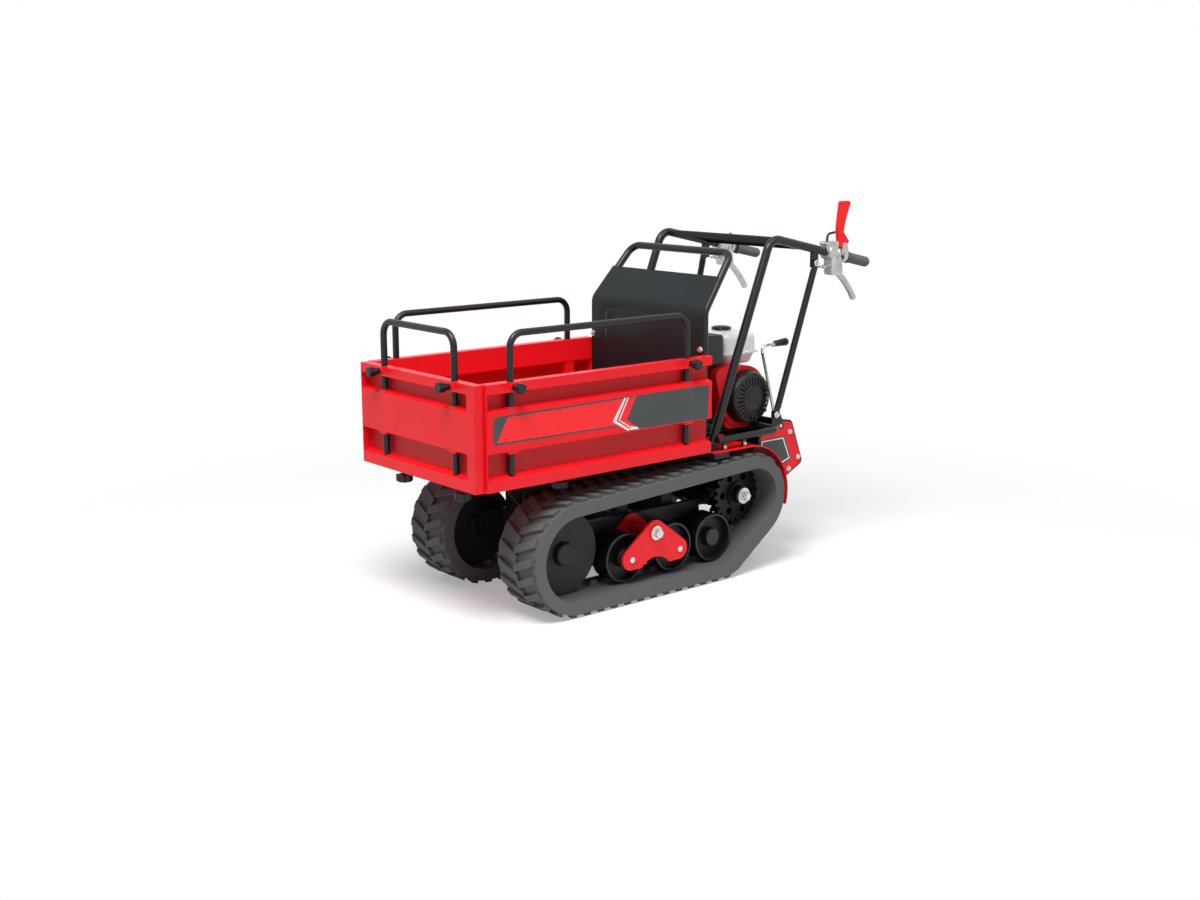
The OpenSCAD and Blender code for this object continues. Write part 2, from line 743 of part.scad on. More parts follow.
// Closed belt guard from the engine's output side to the transmission
module belt_guard() {
    color(BLACK) {
        along_y(-96, -58) polygon(ring_pts([
            [crank_x - 40, deck_z + 46, 42],
            [crank_x + 66, deck_z + 46, 42],
            [crank_x + 60, crank_z + 20, 30],
            [crank_x, crank_z, 64]
        ], 0, 8));
        along_y(-104, -96) polygon(ring_pts([
            [crank_x - 34, deck_z + 48, 32],
            [crank_x + 60, deck_z + 48, 32],
            [crank_x, crank_z, 52]
        ], 0, 8));
    }
}

// Crankcase, leaning finned cylinder and cylinder head
fin_h = 46;
module on_cylinder() {
    translate([crank_x, 24, crank_z]) rotate([0, cylinder_lean, 0]) children();
}

module engine_block() {
    color([0.5, 0.51, 0.52]) {
        span([crank_x - 92, -58, deck_z], [crank_x + 92, 104, deck_z + 14]);
        along_y(-50, 100) polygon(ring_pts([
            [crank_x - 46, deck_z + 44, 36],
            [crank_x + 46, deck_z + 44, 36],
            [crank_x + 40, crank_z + 66, 30],
            [crank_x - 44, crank_z + 66, 30]
        ], 0, 8));
        y_rod(crank_x, crank_z, -58, -50, 46);
        on_cylinder() {
            for (i = [0:5])
                span([-fin_h, -62, 76 + i * 13], [fin_h, 62, 83 + i * 13]);
            span([10 - fin_h, -50, 60], [fin_h - 10, 50, 156]);
            span([4 - fin_h, -56, 150], [fin_h - 4, 56, 172]);
        }
    }
}

// Fan cover that leads the cooling air round to the cylinder
module fan_cover() {
    color(RED) difference() {
        union() {
            along_y(104, fan_y) polygon(ring_pts([
                [crank_x, crank_z, recoil_r + 16],
                [crank_x + 100, crank_z + 76, 30],
                [crank_x + 60, crank_z + 88, 22]
            ], 0, 6));
            along_y(104, fan_y - 8) polygon(ring_pts([
                [crank_x - 52, crank_z - 78, 26],
                [crank_x + 52, crank_z - 78, 26],
                [crank_x, crank_z, 90]
            ], 0, 8));
        }
        y_rod(crank_x, crank_z, fan_y - 34, fan_y + 1, recoil_r - 12);
    }
}

// Recoil starter cover: a dished cup with radial cooling slots
module recoil_cover() {
    r = recoil_r;
    d = recoil_d;
    t = 3;
    color(BLACK) difference() {
        spun(crank_x, fan_y, crank_z, [
            [r - t, 0], [r, 0], [r, d - 12], [r - 4, d - 5], [r - 12, d - 1], [r - 40, d], [36, d], [33, d - 3],
            [0, d - 3], [0, d - 3 - t], [34, d - 3 - t], [37, d - t], [r - 41, d - t], [r - 13, d - t - 1],
            [r - 6, d - 6], [r - t, d - 13]
        ]);
        translate([crank_x, fan_y, crank_z]) for (i = [0:recoil_slots - 1])
            rotate([0, i * 360 / recoil_slots, 0]) {
                span([40, d - 8, -2], [r - 16, d + 5, 2]);
                span([r - 9, 3, -3], [r + 5, d - 14, 3]);
            }
    }
}

// Two-shell tank with a seam flange and a filler neck
module fuel_tank() {
    color(PALE) {
        translate([tank_x, tank_y, tank_z]) {
            hull() for (x = [-1, 1], y = [-1, 1]) {
                translate([x * (tank_l / 2 - 26), y * (tank_w / 2 - 26), tank_h * 0.36])
                    cylinder(h = tank_h * 0.4, r = 26, $fn = 32);
                translate([x * (tank_l / 2 - 34), y * (tank_w / 2 - 34), tank_h - 10])
                    cylinder(h = 10, r = 24, $fn = 32);
            }
            hull() for (x = [-1, 1], y = [-1, 1]) {
                translate([x * (tank_l / 2 - 28), y * (tank_w / 2 - 28), tank_h * 0.3])
                    cylinder(h = 2, r = 26, $fn = 32);
                translate([x * (tank_l / 2 - 40), y * (tank_w / 2 - 40), 0])
                    cylinder(h = 2, r = 24, $fn = 32);
            }
            hull() for (x = [-1, 1], y = [-1, 1])
                translate([x * (tank_l / 2 - 20), y * (tank_w / 2 - 20), tank_h * 0.3])
                    cylinder(h = tank_h * 0.06, r = 22, $fn = 32);
            translate([0, 0, tank_h - 2]) cylinder(h = 8, r = 24);
        }
        for (x = [-1, 1])
            span([tank_x + x * 40 - 9, 30, crank_z + 96], [tank_x + x * 40 + 9, 60, tank_z + 1]);
    }
}

module fuel_cap() {
    color(BLACK) translate([tank_x, tank_y, tank_z + tank_h + 6 + slide_fit]) {
        cylinder(h = 9, r = 31);
        translate([0, 0, 9]) cylinder(h = 4, r1 = 31, r2 = 27);
        for (a = [0:30:330])
            rotate([0, 0, a]) translate([31, 0, 0]) cylinder(h = 9, r = 3);
    }
}

// Air cleaner: base tray and rounded cover
module air_cleaner() {
    x0 = tank_x + tank_l / 2 + 6;
    y1 = tank_y + tank_w / 2;
    color(BLACK) {
        hull() for (x = [x0 + 14, x0 + 86], y = [y1 - 84, y1 - 14]) {
            translate([x, y, crank_z + 130]) cylinder(h = 74, r = 14, $fn = 32);
            translate([x, y, crank_z + 204]) cylinder(h = 8, r1 = 14, r2 = 9, $fn = 32);
        }
        span([x0 + 2, y1 - 96, crank_z + 120], [x0 + 98, y1 - 2, crank_z + 131]);
        span([x0 + 2, y1 - 90, crank_z + 108], [x0 + 50, y1 - 62, crank_z + 121]);
        on_cylinder() span([-fin_h - 34, 34, 112], [-fin_h, 60, 142]);
    }
}

// Silencer with a slotted heat shield
module muffler() {
    x0 = crank_x + 94;
    color([0.33, 0.33, 0.34]) {
        difference() {
            along_y(-124, -46) polygon(ring_pts([
                [x0 + 20, crank_z + 60, 20],
                [x0 + 74, crank_z + 60, 20],
                [x0 + 74, crank_z + 130, 20],
                [x0 + 20, crank_z + 130, 20]
            ], 0, 10));
            for (z = [crank_z + 58:14:crank_z + 130], y = [-114:22:-60])
                span([x0 + 90, y, z], [x0 + 97, y + 15, z + 6]);
        }
        x_rod(x0 + 88, x0 + 116, -100, crank_z + 66, 10);
        y_rod(x0 + 48, crank_z + 52, -46, -38, 12);
    }
}

// Fenders over the rear of the tracks, folded down behind them
module fender() {
    y0 = track_in_y + 8;
    y1 = track_y + track_w / 2 - 18;
    along_y(y0, y1) {
        polygon(concat(
            [[outrigger_x, fender_top_z], [outrigger_x, outrigger_z]],
            arc_pts([sprocket_x, outrigger_z - fender_r], fender_r, 90, 196, 24),
            arc_pts([sprocket_x, outrigger_z - fender_r], fender_r + fender_t, 196, 90, 24)
        ));
    }
    along_y(y0, y0 + 3) polygon([
        [deck_front_x, fender_top_z + 14], [sprocket_x - 20, fender_top_z + 14],
        [sprocket_x - 20, fender_top_z - 1], [deck_front_x, fender_top_z - 1]
    ]);
}

module fenders() {
    color(RED) both() fender();
}

// Side guard bars on welded tabs
guard_z = fender_top_z + 34;
guard_y = track_y + track_w / 2 - 38;
guard_in_y = plate_y - 70;
guard_tabs = [guard_front_x - 30, guard_front_x - 120];
module guard_bar() {
    bent_rod([
        [guard_front_x, guard_y, guard_z],
        [guard_rear_x, guard_y, guard_z],
        [guard_rear_x, guard_in_y, guard_z]
    ], 30, guard_d / 2);
    for (x = guard_tabs)
        span([x - 9, guard_y - 3, fender_top_z], [x + 9, guard_y + 3, guard_z - 4]);
}

module guard_bars() {
    color(DARK) both() guard_bar();
}

// Tail: two side plates joined by a folded rear cover
plate_pts = [
    for (p = [
        [60, 64], [28, 64], [10, 30], [-30, 23], [-40, 12], [-91, -122], [-86, -133], [-18, -167],
        [30, -150], [120, -60], [120, -14], [60, -14]
    ])
        [tail_x + p.x, deck_z + p.y]
];
plate_field = [
    for (p = [
        [8, 22], [-28, 17], [-36, 9], [-85, -121], [-81, -129], [-18, -160], [24, -145], [114, -56], [114, -20]
    ])
        [tail_x + p.x, deck_z + p.y]
];
plate_bolts = [for (p = [[-24, -16], [-67, -108], [-22, -143]]) [tail_x + p.x, deck_z + p.y]];
cover_pts = [
    for (p = [[8, 26], [-29, 19], [-38, 10], [-87, -121], [-83, -130], [-18, -163], [14, -152]])
        [tail_x + p.x, deck_z + p.y]
];
module side_plate() {
    difference() {
        along_y(plate_y - plate_t, plate_y) polygon(plate_pts);
        y_rod(sprocket_x, outrigger_z - fender_r, plate_y - plate_t - 1, plate_y + 1, fender_r + fender_t + 0.4);
        y_rod(gear_x, gear_z, plate_y - plate_t - 1, plate_y + 1, 6.4);
    }
    difference() {
        along_y(plate_y - 1, plate_y + 0.8) polygon(plate_field);
        y_rod(sprocket_x, outrigger_z - fender_r, plate_y - plate_t - 1, plate_y + 2, fender_r + fender_t + 6);
        y_rod(gear_x, gear_z, plate_y - plate_t - 1, plate_y + 2, 12);
    }
    for (p = plate_bolts)
        y_rod(p.x, p.y, plate_y - 0.5, plate_y + 2, 9);
}

module side_plates() {
    color(RED) both() side_plate();
    color(DARK) along_y(-plate_y + plate_t, plate_y - plate_t) polygon(folded(cover_pts, 3));
}

// Handlebars: two bent tubes with strut tabs and a cross tube
bar_pts = [
    [bar_foot_x, bar_y, fender_top_z + foot_lift],
    [bar_bend_x, bar_y, bar_bend_z],
    [bar_end_x + 4, bar_y, bar_end_z + 4 * tan(bar_slope)]
];
module handlebar() {
    color(DARK) both() {
        bent_rod(bar_pts, bar_bend_r, bar_d / 2);
        z_rod(bar_foot_x - 2, bar_y, fender_top_z, fender_top_z + 5, 24);
        z_rod(bar_foot_x - 2, bar_y, fender_top_z, fender_top_z + 12, bar_d / 2 + 4);
        difference() {
            span([strut_top.x - 16, bar_y - 4, strut_top.z - 14], [strut_top.x + 16, bar_y + 4, strut_top.z + 40]);
            y_rod(strut_top.x, strut_top.z, bar_y - 5, bar_y + 5, 5);
        }
    }
}

// Console tray between the handlebars
module console_panel() {
    y1 = bar_y - bar_d / 2 - 0.3;
    a = [console_front_x, bar_axis_z(console_front_x) + 8];
    b = [console_rear_x, bar_axis_z(console_rear_x) + 4];
    color(DARK) along_y(-y1, y1) polygon(folded([
        a + [3, -40], a, b, b + [-2, -10]
    ], 3));
}

// Rear struts with flattened, bolted ends
module strut() {
    top = [strut_top.x, bar_y + 7, strut_top.z];
    foot = [strut_foot.x, plate_y + 3, strut_foot.z];
    w = unit(foot - top);
    rod_to(top + w * 24, foot - w * 24, strut_d / 2);
    for (p = [[top, w], [foot, -w]])
        difference() {
            along_y(p[0].y - 3, p[0].y + 3) polygon(ring_pts([
                [p[0].x, p[0].z, 13],
                [p[0].x + 40 * p[1].x, p[0].z + 40 * p[1].z, 11]
            ], 0, 10));
            y_rod(p[0].x, p[0].z, p[0].y - 4, p[0].y + 4, 5);
        }
}

module struts() {
    color(DARK) both() strut();
}

// Hand grips with ribs and a domed end
module grip() {
    a = [bar_end_x, bar_y, bar_end_z];
    w = unit([bar_bend_x, bar_y, bar_bend_z] - a);
    r = grip_d / 2;
    u = [0, -1, 0];
    v = cross(w, u);
    multmatrix([
        [u.x, v.x, w.x, a.x],
        [u.y, v.y, w.y, a.y],
        [u.z, v.z, w.z, a.z],
        [0, 0, 0, 1]
    ]) rotate_extrude() polygon(concat(
        [[0, 3.5], [0, -6], [r - 8, -6], [r - 3, -3], [r, 3]],
        [for (i = [0:floor((grip_l - 31) / 11)], k = [[0, 12], [-1, 14], [-1, 17], [0, 19]]) [r + k[0], k[1] + i * 11]],
        [[r, grip_l - 8], [r + 3, grip_l - 7], [r + 3, grip_l], [bar_d / 2 + 0.1, grip_l], [bar_d / 2 + 0.1, 3.5]]
    ));
}

module grips() {
    color([0.35, 0.35, 0.35]) both() grip();
}

// Lever clamps: ribbed castings with a fork for the lever pin and a cable adjuster
module along_bar(x) {
    translate([x, bar_y, bar_axis_z(x)]) rotate([0, -bar_slope, 0]) children();
}

module lever_clamp() {
    difference() {
        union() {
            along_bar(clamp_x) x_rod(-20, 40, 0, 0, bar_d / 2 + 8);
            along_bar(clamp_x) x_rod(-16, -8, 0, 0, bar_d / 2 + 11);
            along_bar(clamp_x) x_rod(26, 34, 0, 0, bar_d / 2 + 11);
            along_y(bar_y - 17, bar_y + 17) polygon(ring_pts([
                [lever_x - 8, lever_z - 6, 11],
                [clamp_x + 9, lever_z - 4, 12],
                [clamp_x + 11, lever_z + 44, 12],
                [lever_x - 2, lever_z + 34, 11]
            ], 0, 10));
        }
        along_bar(clamp_x) x_rod(-60, 60, 0, 0, bar_d / 2 + 0.1);
        span([lever_x - 80, bar_y - 8, lever_z - 40], [lever_x + 14, bar_y + 8, lever_z + 15]);
        for (y = [-18, 15.5], i = [0:3])
            span([lever_x - 30, bar_y + y, lever_z - 9 + i * 9], [clamp_x + 26, bar_y + y + 2.5, lever_z - 5 + i * 9]);
    }
    y_rod(lever_x, lever_z, bar_y - 16, bar_y + 16, 5);
    x_rod(clamp_x + 18, clamp_x + 64, bar_y, lever_z + 14, 4);
    x_rod(clamp_x + 36, clamp_x + 46, bar_y, lever_z + 14, 7);
}

// Housing of the clutch cable on the left-hand clamp, with its adjuster and catch
module clutch_housing() {
    difference() {
        along_bar(clamp_x) {
            along_y(-15, 15) polygon([[-6, 0], [44, 0], [50, 12], [50, 30], [36, 36], [2, 42], [-6, 38]]);
            x_rod(48, 70, 0, 24, 4);
            x_rod(56, 64, 0, 24, 7);
        }
        along_bar(clamp_x) x_rod(-60, 60, 0, 0, bar_d / 2 + 0.1);
        for (y = [-16, 13.5], u = [2, 14, 26])
            along_bar(clamp_x) span([u, y, 26 - u * 0.2], [u + 6, y + 2.5, 50]);
    }
    bent_rod([
        [clamp_x + 30, bar_y, bar_axis_z(clamp_x) + 34],
        [clamp_x + 26, bar_y, bar_axis_z(clamp_x) + 66],
        [clamp_x - 9, bar_y, bar_axis_z(clamp_x) + 70]
    ], 14, 4);
}

module lever_clamps() {
    color(STEEL) {
        both() lever_clamp();
        clutch_housing();
        difference() {
            union() {
                along_bar(clutch_x) x_rod(-9, 9, 0, 0, bar_d / 2 + 7);
                for (y = [-15, 9])
                    along_y(bar_y + y, bar_y + y + 6) polygon(ring_pts([
                        [clutch_x, clutch_z, 11],
                        [clutch_x - 8, clutch_z - 22, 10],
                        [clutch_x + 8, clutch_z - 22, 10]
                    ], 0, 10));
            }
            along_bar(clutch_x) x_rod(-40, 40, 0, 0, bar_d / 2 + 0.1);
        }
        y_rod(clutch_x, clutch_z, bar_y - 15, bar_y + 15, 5);
        mirror([0, 1, 0]) {
            difference() {
                union() {
                    along_bar(throttle_x) x_rod(-7, 7, 0, 0, bar_d / 2 + 6);
                    span([throttle_x - 8, bar_y - 12, throttle_z - 30], [throttle_x + 8, bar_y - 6, throttle_z + 8]);
                }
                along_bar(throttle_x) x_rod(-40, 40, 0, 0, bar_d / 2 + 0.1);
            }
            y_rod(throttle_x, throttle_z, bar_y - 12, bar_y + 6, 4);
        }
    }
}

// Curved steering lever under a grip
module steering_lever() {
    b = 5 + running_fit;
    r = 320;
    c = [lever_x + 176, lever_z - 270];
    difference() {
        union() {
            y_rod(lever_x, lever_z, bar_y - 8 + slide_fit, bar_y + 8 - slide_fit, 12);
            along_y(bar_y - 6, bar_y + 6) polygon(concat(
                arc_pts(c, r + 9, 122.5, 147.5, 14),
                arc_pts(c + r * dir(147.5), 9, 147.5, 327.5, 12),
                arc_pts(c, r - 9, 147.5, 122.5, 14)
            ));
        }
        y_rod(lever_x, lever_z, bar_y - 9, bar_y + 9, b);
    }
    for (y = [-6.8, 5.8])
        along_y(bar_y + y, bar_y + y + 1) polygon(concat(
            arc_pts(c, r + 4, 128, 146, 10),
            arc_pts(c, r - 4, 146, 128, 10)
        ));
}

module steering_lever_left() {
    color(STEEL) steering_lever();
}

module steering_lever_right() {
    color(STEEL) mirror([0, 1, 0]) steering_lever();
}

// Drive clutch lever: hub, flat stem and a swollen handle
module clutch_lever() {
    b = 5 + running_fit;
    color(RED) difference() {
        union() {
            y_rod(clutch_x, clutch_z, bar_y - 9 + slide_fit, bar_y + 9 - slide_fit, 11);
            translate([clutch_x, 0, clutch_z]) along_y(bar_y - 8, bar_y + 8) polygon(concat(
                [[20, -4], [27, 42], [28, 58], [24, 100], [18, 136]],
                arc_pts([7, 137], 12, 10, 80, 6),
                arc_pts([-16, 138], 11, 95, 180, 6),
                [[-10, 98], [0, 62], [3, 46], [-26, 14], [-10, -5]]
            ));
        }
        y_rod(clutch_x, clutch_z, bar_y - 10, bar_y + 10, b);
    }
}

// Small throttle lever on the right-hand bar
module throttle_lever() {
    b = 4 + running_fit;
    color(RED) mirror([0, 1, 0]) difference() {
        union() {
            y_rod(throttle_x, throttle_z, bar_y - 6 + slide_fit, bar_y + 4, 8);
            along_y(bar_y - 4, bar_y + 3) polygon([
                [throttle_x - 6, throttle_z + 3], [throttle_x + 6, throttle_z + 3],
                [throttle_x + 4, throttle_z + 13], [throttle_x - 4, throttle_z + 13]
            ]);
            translate([throttle_x, bar_y, throttle_z + 13]) sphere(r = 5.6);
        }
        y_rod(throttle_x, throttle_z, bar_y - 7, bar_y + 7, b);
    }
}

// Gear lever: bent rod with a black hand grip
module gear_lever() {
    color(STEEL) {
        difference() {
            y_rod(gear_x, gear_z, gear_y - 9, gear_y + 9, 14);
            y_rod(gear_x, gear_z, gear_y - 10, gear_y + 10, 6 + running_fit);
        }
        bent_rod([
            [gear_x + 4, gear_y, gear_z + 12],
            [gear_x + 82, gear_y, gear_z + 272],
            [gear_x + 20, gear_y, gear_z + 277]
        ], 16, 5);
        rod_to([gear_x + 26, gear_y, gear_z + 276.5], [gear_x - 46, gear_y, gear_z + 275], 11);
    }
}

// Bolt heads and washers of the frame
module bolt_y(x, z, y, r, s) {
    translate([x, y, z]) rotate([s * -90, 0, 0]) {
        cylinder(h = 2, r = r * 1.5);
        translate([0, 0, 2]) cylinder(h = r, r = r, $fn = 6);
    }
}

module frame_bolts() {
    color(STEEL) both() {
        bolt_y(bogie_x, bogie_z, track_y + bogie_out + 3, 15, 1);
        bolt_y(strut_top.x, strut_top.z, bar_y + 10, 7, 1);
        bolt_y(strut_foot.x, strut_foot.z, plate_y + 6, 7, 1);
        for (p = plate_bolts)
            bolt_y(p.x, p.y, plate_y + 2, 6, 1);
        for (x = guard_tabs)
            bolt_y(x, fender_top_z + 9, guard_y + 3, 4, 1);
    }
    color(STEEL) y_rod(gear_x, gear_z, gear_y - 9 - slide_fit - 4, plate_y, 6);
}

// Bed floor with edge returns, slide sleeves, hinge lugs and the hinge pin
module sleeve_x(x0, x1, y) {
    difference() {
        span([x0, y - sleeve_w / 2, slide_mid_z - sleeve_w / 2], [x1, y + sleeve_w / 2, floor_under_z + 0.5]);
        translate([0, y, slide_mid_z]) cube([3000, slide_w + 2 * slide_fit, slide_w + 2 * slide_fit], center = true);
    }
}

module sleeve_y(y0, y1, x) {
    difference() {
        span([x - sleeve_w / 2, y0, slide_mid_z - sleeve_w / 2], [x + sleeve_w / 2, y1, floor_under_z + 0.5]);
        translate([x, 0, slide_mid_z]) cube([slide_w + 2 * slide_fit, 3000, slide_w + 2 * slide_fit], center = true);
    }
}

floor_y = side_in_y - 2;
floor_front_x = front_back_x - 2;
module bed_floor() {
    color(RED) {
        difference() {
            span([floor_rear_x, -floor_y, floor_under_z], [floor_front_x, floor_y, floor_top_z]);
            span([head_front_x + 24, -bed_w, floor_top_z - 1], [head_front_x + 27, bed_w, floor_top_z + 1]);
        }
        for (s = [-1, 1]) {
            sleeve_x(tip_x + 20, floor_front_x - 4, s * front_slide_gauge / 2);
            on_side(s) for (x = [side_slide_front_x, side_slide_rear_x]) sleeve_y(60, floor_y - 2, x);
            on_side(s) {
                span([floor_rear_x, 40, floor_under_z - 22], [tip_x + 60, 46, floor_under_z + 1]);
                along_y(lug_y0, lug_y0 + lug_plate_t) polygon([
                    [tip_x - 70, floor_under_z + 1], [tip_x - 16, tip_z - 8], [tip_x - 6, tip_z - 18],
                    [tip_x + 6, tip_z - 18], [tip_x + 18, tip_z - 8], [tip_x + 60, floor_under_z + 1]
                ]);
            }
        }
        span([floor_rear_x, -floor_y, floor_under_z - 16], [floor_rear_x + 6, floor_y, floor_under_z + 1]);
        y_rod(tip_x, tip_z, -rail_out_y + rail_w - 16, rail_out_y - rail_w + 16, tip_pin_r);
    }
}

// Pressed panel section, [depth behind the outer face, height]; its middle field is open inside
groove_run = 7;
mid_z0 = panel_z + bottom_rail_h + lower_groove_h - groove_run;
mid_z1 = panel_top_z - top_rail_h - upper_groove_h + groove_run;
function groove(z, h) = [
    [0, z], [panel_d - 2 * panel_t, z + groove_run], [panel_d - 2 * panel_t, z + h - groove_run], [0, z + h]
];
function panel_path() = concat(
    [[panel_d, panel_z], [0, panel_z]],
    groove(panel_z + bottom_rail_h, lower_groove_h),
    groove(panel_top_z - top_rail_h - upper_groove_h, upper_groove_h),
    [[0, panel_top_z], [panel_d, panel_top_z]]
);
module panel_2d() {
    polygon([for (p = folded([for (q = panel_path()) [-q.x, q.y]], panel_t)) p]);
    translate([-panel_d, panel_z]) square([panel_t, mid_z0 - panel_z]);
    translate([-panel_d, mid_z1]) square([panel_t, panel_top_z - mid_z1]);
}

// One panel along local x, outer face at y = 0, facing +y
module panel(l, legs, slides, slide_l, ends) {
    difference() {
        union() {
            along_x(0, l) panel_2d();
            for (x = ends)
                span([x, -panel_d, panel_z], [x + panel_t, 0, panel_top_z]);
            for (x = legs) {
                translate([x, 0, knob_z]) rotate([-90, 0, 0]) cylinder(h = 5, r = 11);
                span([x - 17, -leg_depth - 12, panel_top_z - top_rail_h + 1], [x + 17, -1, panel_top_z - 1]);
                span([x - 17, 2 - panel_d, mid_z0 - 1], [x + 17, -1, mid_z1 + 1]);
            }
        }
        for (x = legs) {
            z_rod(x, -leg_depth, panel_z + bottom_rail_h + 8, panel_top_z + 1, rail_d / 2 + slide_fit);
            translate([x, -leg_depth, knob_z]) rotate([-90, 0, 0]) cylinder(h = leg_depth + 6, r = 5 + running_fit);
        }
    }
    for (x = slides)
        span([x - slide_w / 2, -panel_d - slide_l, slide_mid_z - slide_w / 2],
            [x + slide_w / 2, -panel_d + 1, slide_mid_z + slide_w / 2]);
}

module side_panel() {
    translate([side_rear_x, bed_w / 2, 0]) panel(
        side_panel_l,
        [side_rail_rear_x - side_rear_x, side_rail_front_x - side_rear_x],
        [side_slide_rear_x - side_rear_x, side_slide_front_x - side_rear_x],
        220,
        [side_panel_l - panel_t]
    );
}

module left_panel() {
    color(RED) side_panel();
}

module right_panel() {
    color(RED) mirror([0, 1, 0]) side_panel();
}

module front_panel() {
    h = front_panel_w / 2;
    color(RED) {
        translate([bed_front_x, h, 0]) rotate([0, 0, -90]) panel(
            front_panel_w,
            [h - front_rail_span / 2, h + front_rail_span / 2],
            [h - front_slide_gauge / 2, h + front_slide_gauge / 2],
            190,
            [0, front_panel_w - panel_t]
        );
        span([bed_front_x - panel_t, h - corner_strip_w, panel_z], [bed_front_x, h, panel_top_z]);
    }
}

// Lift-out U rails
module rail(a, b) {
    z0 = panel_z + bottom_rail_h + 8.4;
    bent_rod([
        [a.x, a.y, z0], [a.x, a.y, rail_top_z],
        [b.x, b.y, rail_top_z], [b.x, b.y, z0]
    ], rail_bend_r, rail_d / 2);
}

module left_rail() {
    color(DARK) rail([side_rail_rear_x, side_leg_y], [side_rail_front_x, side_leg_y]);
}

module right_rail() {
    color(DARK) rail([side_rail_rear_x, -side_leg_y], [side_rail_front_x, -side_leg_y]);
}

module front_rail() {
    color(DARK) rail([front_leg_x, -front_rail_span / 2], [front_leg_x, front_rail_span / 2]);
}

// Rail clamp knob: stem along local z from the leg out to a fluted head
module rail_knob() {
    tip = rail_d / 2 + 0.3;
    face = leg_depth + 5;
    neck = face + slide_fit;
    head = leg_depth + knob_reach - knob_head_l;
    translate([0, 0, tip]) cylinder(h = neck + 1 - tip, r = 5);
    translate([0, 0, neck]) cylinder(h = head - neck, r1 = 9, r2 = 12);
    difference() {
        translate([0, 0, head]) cylinder(h = knob_head_l, r = knob_r);
        for (a = [0:60:300])
            rotate([0, 0, a]) translate([knob_r + 3, 0, head - 1]) cylinder(h = knob_head_l + 2, r = 6);
    }
}

module side_knob(x) {
    translate([x, side_leg_y, knob_z]) rotate([-90, 0, 0]) rail_knob();
}

module left_knob_front() {
    color(BLACK) side_knob(side_rail_front_x);
}

module left_knob_rear() {
    color(BLACK) side_knob(side_rail_rear_x);
}

module right_knob_front() {
    color(BLACK) mirror([0, 1, 0]) side_knob(side_rail_front_x);
}

module right_knob_rear() {
    color(BLACK) mirror([0, 1, 0]) side_knob(side_rail_rear_x);
}

module front_knob_left() {
    color(BLACK) translate([front_leg_x, front_rail_span / 2, knob_z]) rotate([0, 90, 0]) rail_knob();
}

module front_knob_right() {
    color(BLACK) translate([front_leg_x, -front_rail_span / 2, knob_z]) rotate([0, 90, 0]) rail_knob();
}

// Slide lock knob under a sleeve
lock_y = side_in_y - 57;
module lock_knob(x, y) {
    z = slide_mid_z - sleeve_w / 2 - slide_fit;
    difference() {
        translate([x, y, z]) mirror([0, 0, 1]) {
            cylinder(h = 16, r = 8);
            translate([0, 0, 16]) cylinder(h = 18, r = 26);
            translate([0, 0, 34]) cylinder(h = 4, r1 = 26, r2 = 20);
        }
        for (a = [0:72:288])
            translate([x, y, z - 40]) rotate([0, 0, a]) translate([30, 0, 0]) cylinder(h = 25, r = 9);
    }
}

module lock_knob_left() {
    color(BLACK) lock_knob(side_slide_front_x, lock_y);
}

module lock_knob_right() {
    color(BLACK) lock_knob(side_slide_front_x, -lock_y);
}

module lock_knob_front_left() {
    color(BLACK) lock_knob(floor_front_x - 24, front_slide_gauge / 2);
}

module lock_knob_front_right() {
    color(BLACK) lock_knob(floor_front_x - 24, -front_slide_gauge / 2);
}

// Headboard sheet: upright lower part, leaning upper part and a pressed field
head_top_x = head_x - head_lean;
function head_t(z) = (z - head_bend_z) / (head_top_z - head_bend_z);
head_a = atan2(head_lean, head_top_z - head_bend_z);
head_fold_z = head_bend_z + (head_tube_d / 2 + 0.3) * tan(head_a / 2);
function head_half(z) = head_w / 2 + (head_top_w - head_w) / 2 * max(0, head_t(z)) + 8;
module headboard() {
    z0 = floor_top_z;
    zb = head_fold_z;
    color(DARK) span([head_front_x + head_sheet_t - 1, 70 - head_half(zb), z0 + 40],
        [head_front_x + head_sheet_t + 1.5, head_half(zb) - 70, zb - 28]);
    color(DARK) intersection() {
        along_y(-head_half(zb), head_half(zb)) polygon(folded([
            [head_front_x + 22, z0], [head_front_x, z0], [head_front_x, zb],
            [head_front_x - (head_sheet_z - zb) * tan(head_a), head_sheet_z]
        ], -head_sheet_t));
        along_x(head_front_x - head_lean, head_front_x + 30) polygon([
            [-head_half(zb), z0 - 5], [head_half(zb), z0 - 5], [head_half(zb), zb],
            [head_half(head_sheet_z), head_sheet_z + 5], [-head_half(head_sheet_z), head_sheet_z + 5],
            [-head_half(zb), zb]
        ]);
    }
}

// Bent tube round the headboard
module headboard_tube() {
    h = head_w / 2;
    t = head_top_w / 2;
    color(DARK) {
        bent_rod([
            [head_x, h, floor_top_z], [head_x, h, head_bend_z], [head_top_x, t, head_top_z],
            [head_top_x, -t, head_top_z], [head_x, -h, head_bend_z], [head_x, -h, floor_top_z]
        ], 40, head_tube_d / 2);
    }
}

// Bolts of the headboard
module bed_bolts() {
    color(STEEL) for (s = [-1, 1], z = [floor_top_z + 60, panel_top_z + 16])
        translate([head_front_x + head_sheet_t, s * (head_w / 2 - 2), z]) rotate([0, 90, 0]) {
            cylinder(h = 2, r = 10);
            translate([0, 0, 2]) cylinder(h = 6, r = 7, $fn = 6);
        }
}

